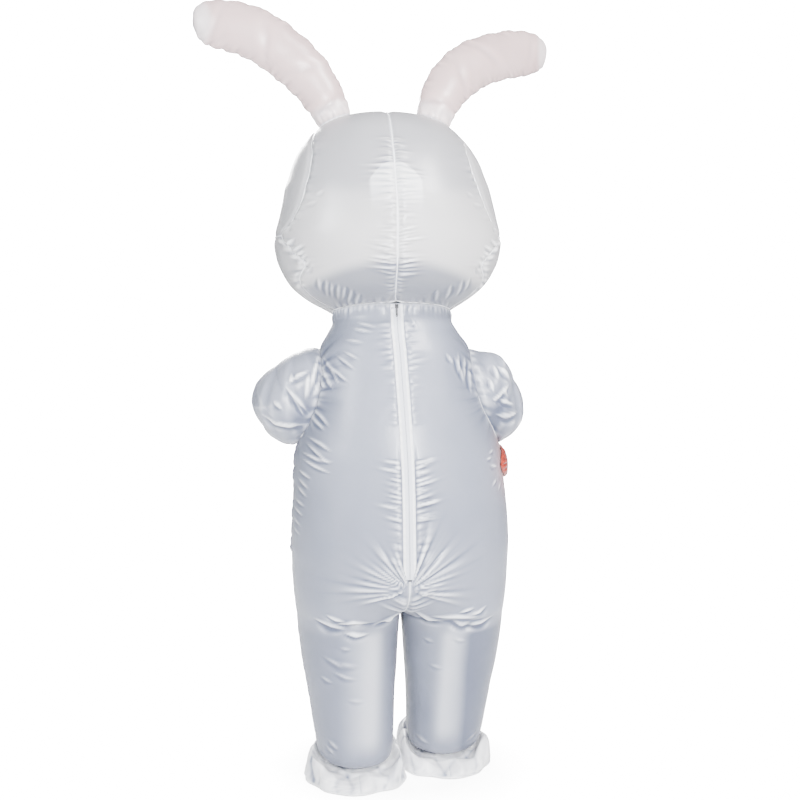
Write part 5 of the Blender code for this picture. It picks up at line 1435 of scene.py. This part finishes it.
def build_stitches():
    centres, alongs, normals = [], [], []
    for x in STITCH_LINES:
        fine = beside_zip(x, 0.16, ZIP_LEVEL - 0.03, 0.0038)
        points = zip_point(np.zeros_like(fine) + x, fine)
        normal = zip_normal(fine)
        centres.append(points + normal * (TAPE_HEIGHT + 0.0001))
        alongs.append(unit(np.gradient(points, axis=0)))
        normals.append(normal)
    dashes("zip_stitches", np.concatenate(centres), np.concatenate(alongs),
           np.concatenate(normals), (0.0026, 0.0009, 0.0007), THREAD)


def build_coil():
    fine = beside_zip(0.001, 0.12, ZIP_LEVEL, 0.0016)
    x = np.where(np.arange(len(fine)) % 2 == 0, 0.0011, -0.0011)
    points = zip_point(x, fine)
    normal = zip_normal(fine)
    along = unit(np.gradient(zip_point(np.zeros_like(fine) + 0.001, fine), axis=0))
    dashes("zip_coil_teeth", points + normal * 0.0012, unit(np.cross(along, normal)), normal,
           (0.0040, 0.0013, COIL_HEIGHT - 0.0014), COIL, ["zip_coil"])


# Orange shape on the right side
def patch_grid(shape, across, level):
    """Points or normals of the right side, over the side seam at across 0."""
    back = shape(RIGHT, BACK, np.abs(across), level)
    front = shape(RIGHT, FRONT, np.abs(across), level)
    return np.where((across > 0)[..., None], back, front)


def build_patch():
    turn, r = np.meshgrid(np.linspace(0, 1, 120), np.linspace(0.01, 1, 40))
    angle = 2 * math.pi * turn
    across = -0.07 + 0.33 * r * np.cos(angle)
    level = 7.25 + 0.62 * r * np.sin(angle)
    across = np.where(np.abs(across) < 1e-4, 1e-4, across)
    cloth = Cloth(patch_grid(body_point, across, level), patch_grid(body_normal, across, level))
    cloth.height = 0.0022 + 0.017 * np.sqrt(np.clip(1 - r ** 2, 0, 1))
    folds = np.abs(np.sin(8 * angle + 0.5 * np.sin(3 * angle)))
    cloth.height += 0.0030 * (folds - 0.5) * smooth((r - 0.55) / 0.3) * smooth((1 - r) / 0.10)
    cloth.seam_band((1 - r) * 0.05, 0.003)
    cloth_piece("cloth_patch_orange", cloth, ORANGE, ["patch_orange"])


# Window binding
def build_window_binding():
    inner, outer = 0.955, 1.115
    turn, r = np.meshgrid(np.linspace(0, 1, 160), np.linspace(inner, outer, 9))
    angle = 2 * math.pi * turn
    place = 180 + WINDOW_TURN * r * np.cos(angle)
    s = WINDOW_S + WINDOW_RISE * r * np.sin(angle)
    other = place > 180

    def across(shape):
        left = shape(LEFT, np.where(other, 180, place), s)
        right = shape(RIGHT, np.where(other, 360 - place, 180), s)
        return np.where(other[..., None], right, left)

    cloth = Cloth(across(head_point), across(head_normal))
    profile = np.sin(np.pi * (r - inner) / (outer - inner))
    cloth.height = 0.0024 + 0.0022 * profile + 0.0004 * np.sin(60 * angle) * profile
    cloth_piece("cloth_window_binding", cloth, HEAD_WHITE)


def build_seams():
    for group, lines in SEAMS.items():
        points, normals = zip(*lines)
        data = tube_mesh(f"seams_{group}", points, normals, 0.0010 if group == "ears" else 0.0017)
        finish_piece(f"seams_{group}", data, THREAD)


def keep_hard_parts():
    finishes = {
        "zip_slider": METAL, "zip_pull": METAL, "zip_stop": METAL,
        "fan_port": PLASTIC, "head_window": FILM,
    }
    for name, material in finishes.items():
        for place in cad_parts[name].material_slots:
            place.material = material


# Studio: how bright the plain white is that the camera sees round the costume, and each lamp's
# place, target, size in metres, power in watts and colour
FLOOR_WHITE = 30.0
FLOOR_HALF = 40.0
LAMPS = {
    "key": ((-1.9, 2.5, 2.8), (0, 0, 0), 0.8, 345, (1.0, 0.985, 0.97)),
    "fill": ((2.8, 2.0, 1.2), (0, 0, -0.2), 0.8, 125, (0.92, 0.96, 1.0)),
    "behind": ((-0.5, 4.4, 0.7), (0, 0, -0.3), 0.7, 510, (0.98, 0.99, 1.0)),
    "front": ((0.9, -3.9, 1.6), (0, 0, -0.1), 1.4, 480, (1.0, 1.0, 1.0)),
}


def show_white(tree, kind, base, output, near=None):
    """Gives the camera plain white, by the amount near, and all other rays the base."""
    amount = node(tree, "ShaderNodeLightPath").outputs["Is Camera Ray"]
    if near is not None:
        amount = times(tree, amount, near)
    white = node(tree, kind, Color=(1, 1, 1), Strength=FLOOR_WHITE).outputs[0]
    both = tree.nodes.new("ShaderNodeMixShader")
    for socket, value in zip(both.inputs, (amount, base, white)):
        tree.links.new(value, socket)
    tree.links.new(both.outputs[0], tree.nodes[output].inputs[0])


def aim(direction):
    return Vector(direction).to_track_quat("-Z", "Y").to_euler()


def build_stage():
    data = bpy.data.meshes.new("floor")
    corners = [(x * FLOOR_HALF, y * FLOOR_HALF, 0) for x, y in ((-1, -1), (1, -1), (1, 1), (-1, 1))]
    data.from_pydata(corners, [], [(0, 1, 2, 3)])
    floor = put("floor", data, (0, 0, FLOOR - 0.0005))
    material, tree, shader = nodes_of("floor_white")
    dress(tree, shader, Base_Color=(0.93, 0.93, 0.93), Roughness=0.9)
    place = node(tree, "ShaderNodeTexCoord").outputs["Object"]
    shrink = node(tree, "ShaderNodeMapping", Vector=place, Scale=(1.1, 1.3, 1.0))
    spread = node(tree, "ShaderNodeTexGradient", gradient_type="SPHERICAL",
                  Vector=shrink.outputs["Vector"])
    near = ramp(tree, spread.outputs["Fac"], (0, grey(1.0)), (0.75, grey(0.30)))
    show_white(tree, "ShaderNodeEmission", shader.outputs[0], "Material Output", near)
    data.materials.append(material)
    world = bpy.data.worlds.new("studio")
    bpy.context.scene.world = world
    world.use_nodes = True
    background = world.node_tree.nodes["Background"]
    background.inputs["Color"].default_value = (0.86, 0.90, 1.0, 1)
    background.inputs["Strength"].default_value = 0.20
    show_white(world.node_tree, "ShaderNodeBackground", background.outputs[0], "World Output")
    for name, (place, target, size, power, colour) in LAMPS.items():
        lamp = bpy.data.lights.new(name, "AREA")
        lamp.shape = "DISK"
        lamp.size = size
        lamp.energy = power
        lamp.color = colour
        light = put(name, lamp, place)
        light.rotation_euler = aim(Vector(target) - Vector(place))


SENSOR = 36.0
FOCUS_PIXELS, PICTURE_PIXELS = 1180, 800


def build_camera():
    lens = bpy.data.cameras.new("camera")
    lens.sensor_width = SENSOR
    lens.lens = SENSOR * FOCUS_PIXELS / PICTURE_PIXELS
    lens.clip_end = 200
    camera = put("camera", lens, (0.376, 3.58, 0.03))
    yaw, tilt = math.radians(6.0), math.radians(4.7)
    level = math.cos(tilt)
    camera.rotation_euler = aim((-math.sin(yaw) * level, -math.cos(yaw) * level, -math.sin(tilt)))
    bpy.context.scene.camera = camera


build_body()
build_head()
build_sleeves()
build_ears()
build_shoes()
build_zip()
build_patch()
build_window_binding()
build_seams()
keep_hard_parts()
build_stage()
build_camera()
